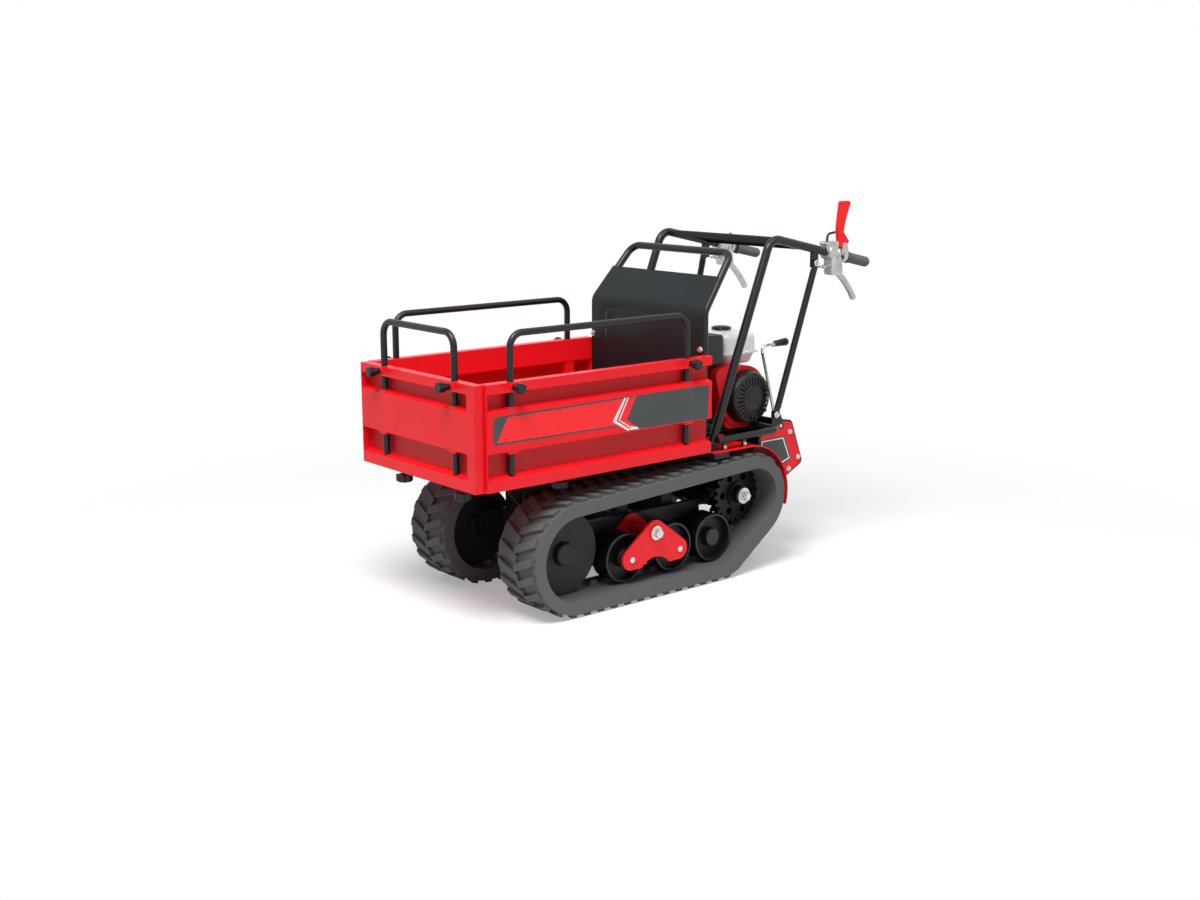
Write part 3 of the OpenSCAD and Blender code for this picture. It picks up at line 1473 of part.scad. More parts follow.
main_frame();
track_left();
track_right();
gearbox_housing();
belt_guard();
engine_block();
fan_cover();
recoil_cover();
fuel_tank();
air_cleaner();
muffler();
fenders();
guard_bars();
side_plates();
handlebar();
console_panel();
struts();
grips();
lever_clamps();
frame_bolts();
bed_floor();
headboard();
headboard_tube();
bed_bolts();
left_panel();
right_panel();
front_panel();
left_rail();
right_rail();
front_rail();
left_knob_front();
left_knob_rear();
right_knob_front();
right_knob_rear();
front_knob_left();
front_knob_right();
lock_knob_left();
lock_knob_right();
lock_knob_front_left();
lock_knob_front_right();
sprocket_left();
sprocket_right();
idler_left();
idler_right();
bogie_left();
bogie_right();
roller_left_front();
roller_left_middle();
roller_left_rear();
roller_right_front();
roller_right_middle();
roller_right_rear();
steering_lever_left();
steering_lever_right();
clutch_lever();
throttle_lever();
gear_lever();
fuel_cap();
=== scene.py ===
# %% [markdown]
# # A tracked power carrier
# The solids of this machine come from its CAD model, so every plate, tube and wheel is already in
# its place. This lesson gives them their looks: a camera that stands where the photographer
# stood, soft studio light, painted, rubber and metal surfaces made only from shader nodes, and
# the pieces that a CAD model leaves out or keeps plain, such as weld beads, screws, colour
# fields, the pressed headboard and the starter cover.

import math

import bmesh
import bpy
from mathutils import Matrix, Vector


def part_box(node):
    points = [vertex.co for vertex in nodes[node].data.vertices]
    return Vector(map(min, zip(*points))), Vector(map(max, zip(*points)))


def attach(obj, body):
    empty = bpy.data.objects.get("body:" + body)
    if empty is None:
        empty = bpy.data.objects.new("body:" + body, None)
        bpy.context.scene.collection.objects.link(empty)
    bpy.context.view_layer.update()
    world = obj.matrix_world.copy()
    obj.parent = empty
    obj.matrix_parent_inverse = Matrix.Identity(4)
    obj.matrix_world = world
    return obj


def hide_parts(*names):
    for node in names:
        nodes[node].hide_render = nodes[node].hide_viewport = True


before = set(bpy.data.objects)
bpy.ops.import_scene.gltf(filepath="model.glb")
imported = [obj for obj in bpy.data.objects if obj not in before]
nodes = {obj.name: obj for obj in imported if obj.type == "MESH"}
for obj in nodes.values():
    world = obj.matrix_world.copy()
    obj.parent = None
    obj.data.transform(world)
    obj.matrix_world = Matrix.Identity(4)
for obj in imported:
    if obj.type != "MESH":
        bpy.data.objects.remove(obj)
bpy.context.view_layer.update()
scene = bpy.context.scene

# %% [markdown]
# ## The camera
# The photograph was taken from the front left, a little above the load bed. Its lines were solved
# for the camera's place, direction and focal length, so the camera is written as numbers and not
# moved by eye. A 36 mm wide sensor turns the focal length in pixels into millimetres.

# %% Camera
PHOTO_W = 1200
FOCAL_PX = 1510.825
EYE = Vector((3.19156, 3.64159, 1.41765))
SIGHT = Vector((-0.6312, -0.7477, -0.2065))

lens = bpy.data.cameras.new("photo_camera")
lens.sensor_fit = "HORIZONTAL"
lens.sensor_width = 36.0
lens.lens = FOCAL_PX / PHOTO_W * lens.sensor_width
lens.clip_end = 200.0
camera = bpy.data.objects.new("photo_camera", lens)
camera.location = EYE
camera.rotation_euler = SIGHT.to_track_quat("-Z", "Y").to_euler()
scene.collection.objects.link(camera)
scene.camera = camera
scene.view_settings.view_transform = "Standard"
print("focal length", round(lens.lens, 2), "mm")

# %% [markdown]
# ## Shader maths in plain Python
# A material is a small sum: noise times a strength, one minus a mask, and so on. The class below
# wraps a node's output socket, so that such sums can be written as Python expressions, and each
# operator adds the Math node that it stands for. Its method `node` adds any other kind of node.


# %% A socket that does sums
def rgba(colour):
    return (*colour, 1.0) if isinstance(colour, tuple) else colour


class Wire:
    def __init__(self, tree, socket):
        self.tree, self.socket = tree, socket

    def node(self, kind, settings=None, inputs=None, out=0):
        made = self.tree.nodes.new(kind)
        for name, value in (settings or {}).items():
            setattr(made, name, value)
        for name, value in (inputs or {}).items():
            if isinstance(value, Wire):
                self.tree.links.new(value.socket, made.inputs[name])
            else:
                made.inputs[name].default_value = value
        return Wire(self.tree, made.outputs[out])

    def maths(self, operation, a, b=0.0):
        return self.node("ShaderNodeMath", {"operation": operation}, {0: a, 1: b})

    def __add__(self, other):
        return self.maths("ADD", self, other)

    def __radd__(self, other):
        return self.maths("ADD", other, self)

    def __sub__(self, other):
        return self.maths("SUBTRACT", self, other)

    def __rsub__(self, other):
        return self.maths("SUBTRACT", other, self)

    def __mul__(self, other):
        return self.maths("MULTIPLY", self, other)

    def __rmul__(self, other):
        return self.maths("MULTIPLY", other, self)

    def __abs__(self):
        return self.maths("ABSOLUTE", self)

    def root(self):
        return self.maths("SQRT", self)

    def above(self, low, high):
        """0 below low, 1 above high, smooth between them."""
        ends = {"Value": self, "From Min": low, "From Max": high}
        return self.node("ShaderNodeMapRange", {"interpolation_type": "SMOOTHSTEP"}, ends)

    def tint(self, low, high):
        """A colour between low and high, picked by this value."""
        ends = {0: self, 6: rgba(low), 7: rgba(high)}
        return self.node("ShaderNodeMix", {"data_type": "RGBA"}, ends, out=2)


class Finish:
    """A new material: places on the object, noises, and the Principled shader that ends it."""

    def __init__(self, name, **constants):
        self.material = bpy.data.materials.new(name)
        self.material.use_nodes = True
        self.tree = self.material.node_tree
        self.shader = next(n for n in self.tree.nodes if n.type == "BSDF_PRINCIPLED")
        for socket, value in constants.items():
            self.shader.inputs[socket.replace("_", " ")].default_value = value
        self.place = self.source("ShaderNodeTexCoord", "Object")
        self.facing = self.source("ShaderNodeNewGeometry", "Normal")

    def source(self, kind, output):
        return Wire(self.tree, self.tree.nodes.new(kind).outputs[output])

    def part(self, vector, axis):
        return vector.node("ShaderNodeSeparateXYZ", None, {0: vector}, out="XYZ".index(axis))

    def noise(self, scale, detail=3.0, rough=0.55, stretch=None):
        where = self.place
        if stretch:
            where = where.node("ShaderNodeMapping", None, {"Vector": where, "Scale": stretch})
        sizes = {"Vector": where, "Scale": scale, "Detail": detail, "Roughness": rough}
        return where.node("ShaderNodeTexNoise", None, sizes)

    def bump(self, height, strength, depth):
        sizes = {"Height": height, "Strength": strength, "Distance": depth}
        return height.node("ShaderNodeBump", None, sizes)

    def ends(self, **links):
        for socket, wire in links.items():
            self.tree.links.new(wire.socket, self.shader.inputs[socket.replace("_", " ")])
        return self.material


print("shader helpers ready")

# %% [markdown]
# ## Painted steel
# Powder coat is smooth but never mirror-flat: it has a fine orange-peel skin, and its colour and
# gloss change a little from place to place, where the powder fell thicker. A slow noise drives
# the colour, a faster one the roughness, and a very fast one a shallow bump. The bottoms of the
# deep grooves of the red panels and the backs of their hollows get a darker red of their own,
# which is painted shade. The machine in the photograph is new, so there is no dust.


# %% Paint finishes
def powder_coat(name, colour, deep, rough, shine):
    finish = Finish(name, Specular_IOR_Level=shine)
    cloud = finish.noise(scale=5.0, detail=4.0)
    drift = finish.noise(scale=60.0, detail=5.0, rough=0.65)
    peel = finish.noise(scale=420.0, detail=2.0)
    shade = cloud.above(0.3, 0.72).tint(deep, colour)
    gloss = rough + cloud * 0.08 + drift * 0.06
    skin = finish.bump(peel, strength=0.10, depth=0.0006)
    return finish.ends(Base_Color=shade, Roughness=gloss, Normal=skin)


red_paint = powder_coat(
    "red_powder_coat", (0.84, 0.0085, 0.0170), (0.78, 0.0070, 0.0140), rough=0.30, shine=0.28
)
# A darker red for groove bottoms and the backs of hollows: painted shade.
recess_shade_red = powder_coat(
    "painted_shade_red", (0.58, 0.0150, 0.0190), (0.52, 0.0130, 0.0165), rough=0.40, shine=0.28
)
dark_paint = powder_coat(
    "slate_powder_coat", (0.0095, 0.0138, 0.0155), (0.0080, 0.0116, 0.0132), rough=0.26, shine=0.20
)
tube_paint = powder_coat(
    "tube_powder_coat", (0.0080, 0.0100, 0.0108), (0.0064, 0.0080, 0.0088), rough=0.26, shine=0.34
)
frame_paint = powder_coat(
    "black_frame_paint", (0.0075, 0.0080, 0.0085), (0.0050, 0.0055, 0.0060), rough=0.38, shine=0.35
)
# A near-black for the downward faces of the tray: painted shade.
tray_underside_shade = powder_coat(
    "painted_shade_black", (0.0030, 0.0034, 0.0036), (0.0022, 0.0025, 0.0027), rough=0.75, shine=0.06
)
tank_paint = powder_coat(
    "pale_tank_paint", (0.80, 0.806, 0.806), (0.76, 0.765, 0.765), rough=0.20, shine=0.40
)
# A slightly darker copy of the tank paint for the lower shell: painted shade.
tank_shade = powder_coat(
    "pale_tank_painted_shade", (0.74, 0.750, 0.750), (0.70, 0.710, 0.710), rough=0.26, shine=0.35
)
red_lever = powder_coat(
    "red_lever_moulding", (0.95, 0.0075, 0.0085), (0.90, 0.0065, 0.0075), rough=0.30, shine=0.35
)
wheel_enamel = powder_coat(
    "black_wheel_enamel", (0.0070, 0.0076, 0.0080), (0.0050, 0.0055, 0.0058), rough=0.32, shine=0.28
)
# A lighter enamel for the outer faces of the roller rims: painted highlight.
rim_highlight_enamel = powder_coat(
    "painted_highlight_wheel_rim", (0.0220, 0.0230, 0.0240), (0.0150, 0.0158, 0.0165), rough=0.28, shine=0.40
)
idler_enamel = powder_coat(
    "grey_idler_enamel", (0.0275, 0.0300, 0.0292), (0.0235, 0.0256, 0.0250), rough=0.42, shine=0.20
)
print("painted finishes ready")

# %% [markdown]
# ## Rubber
# The tracks are matte moulded rubber. Their smooth side walls catch more light than the tread, so
# the way a face looks, sideways or outwards, picks between two greys. Fine grain and a few soft
# scuffs keep the large side walls from looking like painted plastic.


# %% Rubber finishes
def track_rubber():
    finish = Finish("track_rubber", Specular_IOR_Level=0.25)
    side = abs(finish.part(finish.facing, "Y")).above(0.6, 0.95)
    cloud = finish.noise(scale=9.0, detail=6.0, rough=0.6)
    grain = finish.noise(scale=700.0, detail=3.0)
    scuff = finish.noise(scale=34.0, detail=6.0, rough=0.7, stretch=(0.4, 1.0, 1.6))
    shade = side.tint((0.090, 0.090, 0.090), (0.106, 0.106, 0.106))
    shade = (cloud.above(0.40, 0.75) * 0.16).tint(shade, (0.130, 0.130, 0.129))
    shade = (scuff.above(0.58, 0.8) * 0.20).tint(shade, (0.046, 0.046, 0.046))
    skin = finish.bump(grain * 0.5 + scuff * 0.5, strength=0.25, depth=0.0012)
    return finish.ends(Base_Color=shade, Roughness=0.70 + cloud * 0.18, Normal=skin)


def grip_rubber():
    finish = Finish("grip_rubber", Specular_IOR_Level=0.3)
    grain = finish.noise(scale=900.0, detail=2.0)
    cloud = finish.noise(scale=30.0, detail=4.0)
    shade = cloud.above(0.3, 0.7).tint((0.104, 0.104, 0.105), (0.122, 0.122, 0.123))
    skin = finish.bump(grain, strength=0.25, depth=0.0008)
    return finish.ends(Base_Color=shade, Roughness=0.62 + cloud * 0.2, Normal=skin)


track_skin = track_rubber()
grip_skin = grip_rubber()
print("rubber finishes ready")

# %% [markdown]
# ## Bare metal, plastic and vinyl
# Cast levers have a soft grainy skin, zinc-plated bolts a bright one with faint streaks, and the
# silencer a heat-stained one. The black mouldings have a fine spark texture that keeps them from
# looking polished, and the stuck-on colour fields are thin vinyl with an even sheen and hardly
# any grain.


# %% Metal, plastic and vinyl finishes
def bare_metal(name, bright, dull, rough, grain_scale, depth, stretch=None):
    finish = Finish(name, Metallic=1.0)
    grain = finish.noise(scale=grain_scale, detail=4.0, rough=0.6, stretch=stretch)
    cloud = finish.noise(scale=24.0, detail=5.0, rough=0.6)
    shade = cloud.above(0.3, 0.72).tint(dull, bright)
    skin = finish.bump(grain, strength=0.18, depth=depth)
    return finish.ends(Base_Color=shade, Roughness=rough + grain * 0.16, Normal=skin)


def moulding(name, low, high, rough, depth):
    finish = Finish(name, Specular_IOR_Level=0.4)
    spark = finish.noise(scale=650.0, detail=3.0)
    cloud = finish.noise(scale=11.0, detail=4.0)
    shade = cloud.above(0.3, 0.7).tint(low, high)
    skin = finish.bump(spark, strength=0.16, depth=depth)
    return finish.ends(Base_Color=shade, Roughness=rough + cloud * 0.14, Normal=skin)


STREAKS = (1.0, 6.0, 1.0)
SPARK, SHEEN = 0.0006, 0.0001
zinc = bare_metal(
    "zinc_plated_steel", (0.74, 0.74, 0.73), (0.60, 0.60, 0.60),
    rough=0.22, grain_scale=500.0, depth=0.0004, stretch=STREAKS,
)
cast_alloy = bare_metal(
    "cast_alloy", (0.58, 0.58, 0.57), (0.44, 0.44, 0.44),
    rough=0.34, grain_scale=520.0, depth=0.0008,
)
engine_alloy = bare_metal(
    "engine_casting", (0.42, 0.42, 0.42), (0.30, 0.30, 0.30),
    rough=0.44, grain_scale=420.0, depth=0.0010,
)
silencer_steel = bare_metal(
    "silencer_steel", (0.26, 0.24, 0.22), (0.12, 0.11, 0.11),
    rough=0.40, grain_scale=300.0, depth=0.0006,
)
black_moulding = moulding(
    "black_moulding", (0.0048, 0.0050, 0.0054), (0.0082, 0.0084, 0.0090), rough=0.30, depth=SPARK
)
cleaner_moulding = moulding(
    "air_cleaner_moulding", (0.020, 0.021, 0.022), (0.028, 0.029, 0.030), rough=0.42, depth=SPARK
)
red_vinyl = moulding(
    "red_vinyl", (0.93, 0.0120, 0.0180), (0.96, 0.0135, 0.0200), rough=0.30, depth=SHEEN
)
grey_vinyl = moulding(
    "grey_vinyl", (0.046, 0.052, 0.054), (0.051, 0.057, 0.059), rough=0.34, depth=SHEEN
)
pale_vinyl = moulding(
    "pale_vinyl", (0.80, 0.80, 0.80), (0.84, 0.84, 0.84), rough=0.34, depth=SHEEN
)
print("metal, plastic and vinyl finishes ready")

# %% [markdown]
# ## Dressing the CAD nodes
# Each node is given the finish of the real piece, and some get painted light as well. Where one
# solid shows two finishes, such as a sprocket with its zinc nut, or a panel with painted shade in
# its grooves, the faces are told apart by where they lie, and only their material number is set.
# The vertices stay as the CAD model made them.

# %% Finishes by node
FINISHES = {
    red_paint: [
        "fenders", "side_plates", "bed_floor", "left_panel", "right_panel", "front_panel",
        "bogie_left", "bogie_right", "fan_cover",
    ],
    dark_paint: ["console_panel", "headboard"],
    tube_paint: [
        "guard_bars", "handlebar", "struts", "headboard_tube", "left_rail", "right_rail",
        "front_rail",
    ],
    frame_paint: ["main_frame", "gearbox_housing"],
    track_skin: ["track_left", "track_right"],
    idler_enamel: ["idler_left", "idler_right"],
    wheel_enamel: [name for name in nodes if name.startswith(("sprocket", "roller"))],
    grip_skin: ["grips"],
    zinc: ["frame_bolts", "bed_bolts", "gear_lever"],
    cast_alloy: ["lever_clamps", "steering_lever_left", "steering_lever_right"],
    engine_alloy: ["engine_block"],
    silencer_steel: ["muffler"],
    red_lever: ["clutch_lever", "throttle_lever"],
    tank_paint: ["fuel_tank"],
    cleaner_moulding: ["air_cleaner"],
    black_moulding: [
        "belt_guard", "recoil_cover", "fuel_cap", *(name for name in nodes if "knob" in name),
    ],
}
for finish, names in FINISHES.items():
    for name in names:
        nodes[name].data.materials.clear()
        nodes[name].data.materials.append(finish)
print("nodes without a finish:", [name for name in nodes if not nodes[name].data.materials])


# %% Second finishes, picked by where a face lies
def second_finish(name, finish, belongs):
    mesh = nodes[name].data
    mesh.materials.append(finish)
    number = len(mesh.materials) - 1
    hits = 0
    for face in mesh.polygons:
        if belongs(face.center, face.normal):
            face.material_index = number
            hits += 1
    print(name, "has", hits, "faces of", finish.name)


def middle_of(name):
    low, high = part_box(name)
    return (low + high) / 2


def reach_of(name):
    """How far a node reaches from the machine's middle plane."""
    return max(abs(corner.y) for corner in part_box(name))


WASHER_BACK = 0.0258
PIN_HEAD = 0.0059
RIM_FACE = 0.0005
PLATE_RIM = 0.0016
# A face whose normal has more than this along an axis looks along it
SIDEWAYS = 0.5
for side in ("left", "right"):
    hub_end = reach_of(f"sprocket_{side}") - WASHER_BACK
    second_finish(f"sprocket_{side}", zinc, lambda c, n: abs(c.y) > hub_end)
    pin_y = reach_of(f"bogie_{side}") - PIN_HEAD
    second_finish(f"bogie_{side}", zinc, lambda c, n: abs(c.y) > pin_y)
    for place in ("front", "middle", "rear"):
        rim_y = reach_of(f"roller_{side}_{place}") - RIM_FACE
        # The outer faces of each roller rim get the lighter enamel: painted highlight.
        second_finish(f"roller_{side}_{place}", rim_highlight_enamel, lambda c, n: abs(c.y) > rim_y)

KNOB_SEAT = 0.005
GROOVE = (0.0255, 0.0285)
HOLLOW = (0.0015, 0.0030)


def in_painted_shade(depth, outwards):
    """The bottom of a groove, seen from outside, or the back of the field, seen from inside: the
    faces that get painted shade.
    """
    low, high = GROOVE if outwards > 0 else HOLLOW
    return low < depth < high and abs(outwards) > SIDEWAYS


# Groove bottoms and the hollow backs of the panels take the darker red: painted shade.
for side in ("left", "right"):
    outer_y = reach_of(f"{side}_panel") - KNOB_SEAT
    second_finish(
        f"{side}_panel", recess_shade_red,
        lambda c, n: in_painted_shade(outer_y - abs(c.y), math.copysign(n.y, n.y * c.y)),
    )
outer_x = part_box("front_panel")[1].x - KNOB_SEAT
second_finish("front_panel", recess_shade_red, lambda c, n: in_painted_shade(outer_x - c.x, n.x))

plate_y = reach_of("side_plates")
second_finish(
    "side_plates", tube_paint, lambda c, n: abs(c.y) < plate_y - PLATE_RIM or abs(n.y) < SIDEWAYS
)

# %% Second finishes of the engine and the controls
crank = middle_of("recoil_cover")
HOUSING_BORE, HOUSING_Y = 0.0768, 0.105
second_finish(
    "fan_cover", black_moulding,
    lambda c, n: c.y > HOUSING_Y and math.hypot(c.x - crank.x, c.z - crank.z) < HOUSING_BORE,
)
CATCH_Y, CATCH_Z = 0.2, 1.062
second_finish("lever_clamps", black_moulding, lambda c, n: c.y > CATCH_Y and c.z > CATCH_Z)

# %% [markdown]
# ## Small repeats with Geometry Nodes
# Weld beads, screws and the sectors of the starter cover repeat along rings. A seed mesh holds
# one point for each place, with its turn and size as attributes, and a node tree puts a piece on
# every point. The tree's sizes are named inputs, so one tree serves several places. The result is
# realised and made a plain mesh, because the export keeps no instances.


# %% Helpers for node trees
TOUCHING = 1e-5


def new_tree(name, numbers):
    tree = bpy.data.node_groups.new(name, "GeometryNodeTree")
    face = tree.interface
    face.new_socket("Seeds", in_out="INPUT", socket_type="NodeSocketGeometry")
    for label, kind, value in numbers:
        socket = face.new_socket(label, in_out="INPUT", socket_type="NodeSocket" + kind)
        if value is not None:
            socket.default_value = value
    face.new_socket("Finish", in_out="INPUT", socket_type="NodeSocketMaterial")
    face.new_socket("Pieces", in_out="OUTPUT", socket_type="NodeSocketGeometry")
    return tree, tree.nodes.new("NodeGroupInput"), tree.nodes.new("NodeGroupOutput")


def add(tree, kind, settings=None, **inputs):
    """A new node; an input is a plain value or another node's output."""
    made = tree.nodes.new(kind)
    for name, value in (settings or {}).items():
        setattr(made, name, value)
    for name, value in inputs.items():
        socket = made.inputs[int(name[1:]) if name[1:].isdigit() else name.replace("_", " ")]
        if isinstance(value, bpy.types.NodeSocket):
            tree.links.new(value, socket)
        else:
            socket.default_value = value
    return made


def attribute(tree, name, kind):
    made = add(tree, "GeometryNodeInputNamedAttribute", {"data_type": kind}, Name=name)
    return next(s for s in made.outputs if s.enabled and s.name == "Attribute")


def on_seeds(tree, source, piece, sink):
    """Put a piece on every seed, then realise, weld and paint the lot."""
    turn = add(tree, "FunctionNodeEulerToRotation", _0=attribute(tree, "turn", "FLOAT_VECTOR"))
    spread = add(
        tree, "GeometryNodeInstanceOnPoints", Points=source.outputs["Seeds"], Instance=piece,
        Rotation=turn.outputs[0], Scale=attribute(tree, "size", "FLOAT"),
    )
    real = add(tree, "GeometryNodeRealizeInstances", Geometry=spread.outputs["Instances"])
    weld = add(
        tree, "GeometryNodeMergeByDistance", Geometry=real.outputs["Geometry"], Distance=TOUCHING
    )
    coat = add(
        tree, "GeometryNodeSetMaterial",
        Geometry=weld.outputs["Geometry"], Material=source.outputs["Finish"],
    )
    tree.links.new(coat.outputs["Geometry"], sink.inputs["Pieces"])
    return tree


def settle(piece, wall, crease):
    """Give a sheet its wall, and turn the piece with its modifiers into one plain mesh."""
    if wall:
        shell = piece.modifiers.new("wall", "SOLIDIFY")
        shell.thickness = wall
        shell.offset = -1.0
    evaluated = piece.evaluated_get(bpy.context.evaluated_depsgraph_get())
    plain = bpy.data.meshes.new_from_object(evaluated)
    piece.modifiers.clear()
    piece.data = plain
    plain.polygons.foreach_set("use_smooth", [True] * len(plain.polygons))
    plain.set_sharp_from_angle(angle=math.radians(crease))


def fit(piece, body):
    """Let a finished piece ride on a body."""
    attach(piece, body)
    print(piece.name, "has", len(piece.data.polygons), "faces on", body)


def new_piece(name, shape, *finishes):
    """An object with the faces of a bmesh, which is used up."""
    mesh = bpy.data.meshes.new(name)
    shape.to_mesh(mesh)
    shape.free()
    for finish in finishes:
        mesh.materials.append(finish)
    piece = bpy.data.objects.new(name, mesh)
    scene.collection.objects.link(piece)
    return piece


def grow(name, tree, seeds, values, body, wall=0.0, crease=40.0):
    """seeds are (place, turn, size); the tree's result becomes one plain mesh on a body."""
    mesh = bpy.data.meshes.new(name + "_seeds")
    mesh.from_pydata([place for place, _, _ in seeds], [], [])
    turns = [v for _, turn, _ in seeds for v in turn]
    mesh.attributes.new("turn", "FLOAT_VECTOR", "POINT").data.foreach_set("vector", turns)
    sizes = [size for _, _, size in seeds]
    mesh.attributes.new("size", "FLOAT", "POINT").data.foreach_set("value", sizes)
    piece = bpy.data.objects.new(name, mesh)
    scene.collection.objects.link(piece)
    grower = piece.modifiers.new("grow", "NODES")
    grower.node_group = tree
    for item in tree.interface.items_tree:
        if item.item_type == "SOCKET" and item.in_out == "INPUT" and item.name in values:
            grower[item.identifier] = values[item.name]
    settle(piece, wall, crease)
    fit(piece, body)
    return piece


print("node tree helpers ready")

# %% [markdown]
# ## The starter cover
# The black cover over the starter is a deep moulded cup. Its face has a ring of wedge-shaped
# cooling slots round a plain middle, and its wall has rows of short slots. It could be a cup with
# boolean cuts, but those leave ragged faces. Here one sector of the cup is drawn with its slots
# left open, with a sector of the closed drum behind it, a node tree sets 28 copies round the
# shaft and welds them, and Solidify gives the sheets their wall.

# %% One sector of the starter cover
SLOTS = 28
COVER_DEPTH = 0.045
COVER_GAP = 0.0002
FACE_SLOT = (0.275, 0.725)
WALL_SLOT = (0.2, 0.8)
SHARES = (0.0, 0.2, 0.275, 0.5, 0.725, 0.8, 1.0)
# Radius, depth below the face, and the slot that opens towards the next ring
COVER_RINGS = [
    (0.0320, 0.0024, None), (0.0345, 0.0008, None), (0.0365, 0.0000, None),
    (0.0410, 0.0000, FACE_SLOT), (0.0560, 0.0002, FACE_SLOT), (0.0710, 0.0010, None),
    (0.0770, 0.0028, None), (0.0815, 0.0056, None), (0.0850, 0.0100, None), (0.0870, 0.0150, None),
    (0.0878, 0.0180, WALL_SLOT), (0.0880, 0.0222, None), (0.0880, 0.0260, WALL_SLOT),
    (0.0880, 0.0302, None), (0.0880, 0.0340, WALL_SLOT), (0.0880, 0.0382, None),
    (0.0880, 0.0420, None), (0.0905, 0.0424, None), (0.0905, 0.0448, None),
]
# The closed drum of the starter behind the slots
DRUM_RINGS = [
    (0.0300, 0.0090, None), (0.0680, 0.0100, None), (0.0740, 0.0130, None),
    (0.0770, 0.0180, None), (0.0770, 0.0440, None),
]


def cup_sector(shape, rings_of_cup):
    """One sector of a cup: a fan round its hub, and bands from ring to ring with open slots."""
    step = math.tau / SLOTS
    hub = shape.verts.new((0.0, COVER_DEPTH - rings_of_cup[0][1], 0.0))
    rings = []
    for radius, depth, _ in rings_of_cup:
        ring = []
        for share in SHARES:
            angle = share * step
            spot = (radius * math.cos(angle), COVER_DEPTH - depth, radius * math.sin(angle))
            ring.append(shape.verts.new(spot))
        rings.append(ring)
    for a, b in zip(rings[0], rings[0][1:]):
        shape.faces.new((hub, b, a))
    for (_, _, slot), inner, outer in zip(rings_of_cup, rings, rings[1:]):
        for i in range(len(SHARES) - 1):
            if slot and slot[0] <= SHARES[i] < slot[1]:
                continue
            shape.faces.new((inner[i], inner[i + 1], outer[i + 1], outer[i]))


def cover_sector():
    shape = bmesh.new()
    for rings_of_cup in (COVER_RINGS, DRUM_RINGS):
        cup_sector(shape, rings_of_cup)
    mesh = bpy.data.meshes.new("cover_sector")
    shape.to_mesh(mesh)
    shape.free()
    return bpy.data.objects.new("cover_sector", mesh)


def sector_tree():
    tree, source, sink = new_tree("sectors", [("Sector", "Object", None)])
    sector = add(tree, "GeometryNodeObjectInfo", Object=source.outputs["Sector"])
    return on_seeds(tree, source, sector.outputs["Geometry"], sink)


# %% The whole starter cover
cover_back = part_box("recoil_cover")[0].y + COVER_GAP
cover_seeds = [
    ((crank.x, cover_back, crank.z), (0.0, i * math.tau / SLOTS, 0.0), 1.0) for i in range(SLOTS)
]
sector = cover_sector()
starter_cover = grow(
    "starter_cover", sector_tree(), cover_seeds, {"Sector": sector, "Finish": black_moulding},
    "chassis", wall=0.0022, crease=35.0,
)
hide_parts("recoil_cover")
bpy.data.objects.remove(sector)

# %% [markdown]
# ## The fuel tank
# The tank is two pressed shells that meet in a flange, on two feet. All its sections are rounded
# rectangles, so it is lofted: each ring of points is joined to the ring above by a band of faces,
# and the ends are closed. The feet and the round neck are made by the same function. The cap
# keeps the form of its solid, but sits lower.


# %% Lofts for the tank
CORNER_STEPS = 10
LOFT_CREASE = 32.0
SAME_SPOT = 1e-6


def loft(shape, middle, half_l, half_w, sections):
    """A closed form from sections (height, inset, corner radius), lowest first."""
    rings = []
    for height, inset, radius in sections:
        ring = []
        for k, (sx, sy) in enumerate(((1, 1), (-1, 1), (-1, -1), (1, -1))):
            cx = middle.x + sx * (half_l - inset - radius)
            cy = middle.y + sy * (half_w - inset - radius)
            for step in range(CORNER_STEPS + 1):
                angle = (k + step / CORNER_STEPS) * math.pi / 2
                spot = (cx + radius * math.cos(angle), cy + radius * math.sin(angle), height)
                ring.append(shape.verts.new(spot))
        rings.append(ring)
    for low, high in zip(rings, rings[1:]):
        for a, b, c, d in zip(low, low[1:] + low[:1], high[1:] + high[:1], high):
            shape.faces.new((a, b, c, d))
    shape.faces.new(rings[0][::-1])
    shape.faces.new(rings[-1])


def lofted_piece(name, shape, finishes, body, node):
    """A smooth piece from lofts, or from the copied faces of a solid, that stands for a node."""
    bmesh.ops.remove_doubles(shape, verts=shape.verts, dist=SAME_SPOT)
    piece = new_piece(name, shape, *finishes)
    settle(piece, 0.0, LOFT_CREASE)
    fit(piece, body)
    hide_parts(node)
    return piece


# %% The tank and its cap
SEAM_Z = 0.6945
# Height, inset from the flange's outline, and corner radius
TANK_SECTIONS = [
    (0.6590, 0.0300, 0.018), (0.6598, 0.0230, 0.022), (0.6625, 0.0185, 0.025),
    (0.6660, 0.0165, 0.026), (SEAM_Z, 0.0070, 0.026), (SEAM_Z, 0.0004, 0.022),
    (0.6949, 0.0, 0.022), (0.6996, 0.0, 0.022), (0.7000, 0.0004, 0.022),
    (0.7000, 0.0050, 0.026), (0.7400, 0.0064, 0.027), (0.7500, 0.0078, 0.027),
    (0.7560, 0.0105, 0.026), (0.7600, 0.0145, 0.025), (0.7628, 0.0205, 0.023),
    (0.7642, 0.0290, 0.020), (0.7648, 0.0420, 0.016),
]
NECK_R, NECK_LOW, NECK_TOP = 0.024, 0.7640, 0.7675
FOOT_X, FOOT_Y = 0.040, 0.001
FOOT_HALF, FOOT_DEEP, FOOT_ROUND, FOOT_TOP = 0.009, 0.015, 0.003, 0.6620
CAP_FOOT, CAP_SQUASH = 0.7676, 0.72
tank_low, tank_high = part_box("fuel_tank")
tank_middle = middle_of("fuel_tank")
half_l, half_w = (tank_high.x - tank_low.x) / 2, (tank_high.y - tank_low.y) / 2
shape = bmesh.new()
loft(shape, tank_middle, half_l, half_w, TANK_SECTIONS)
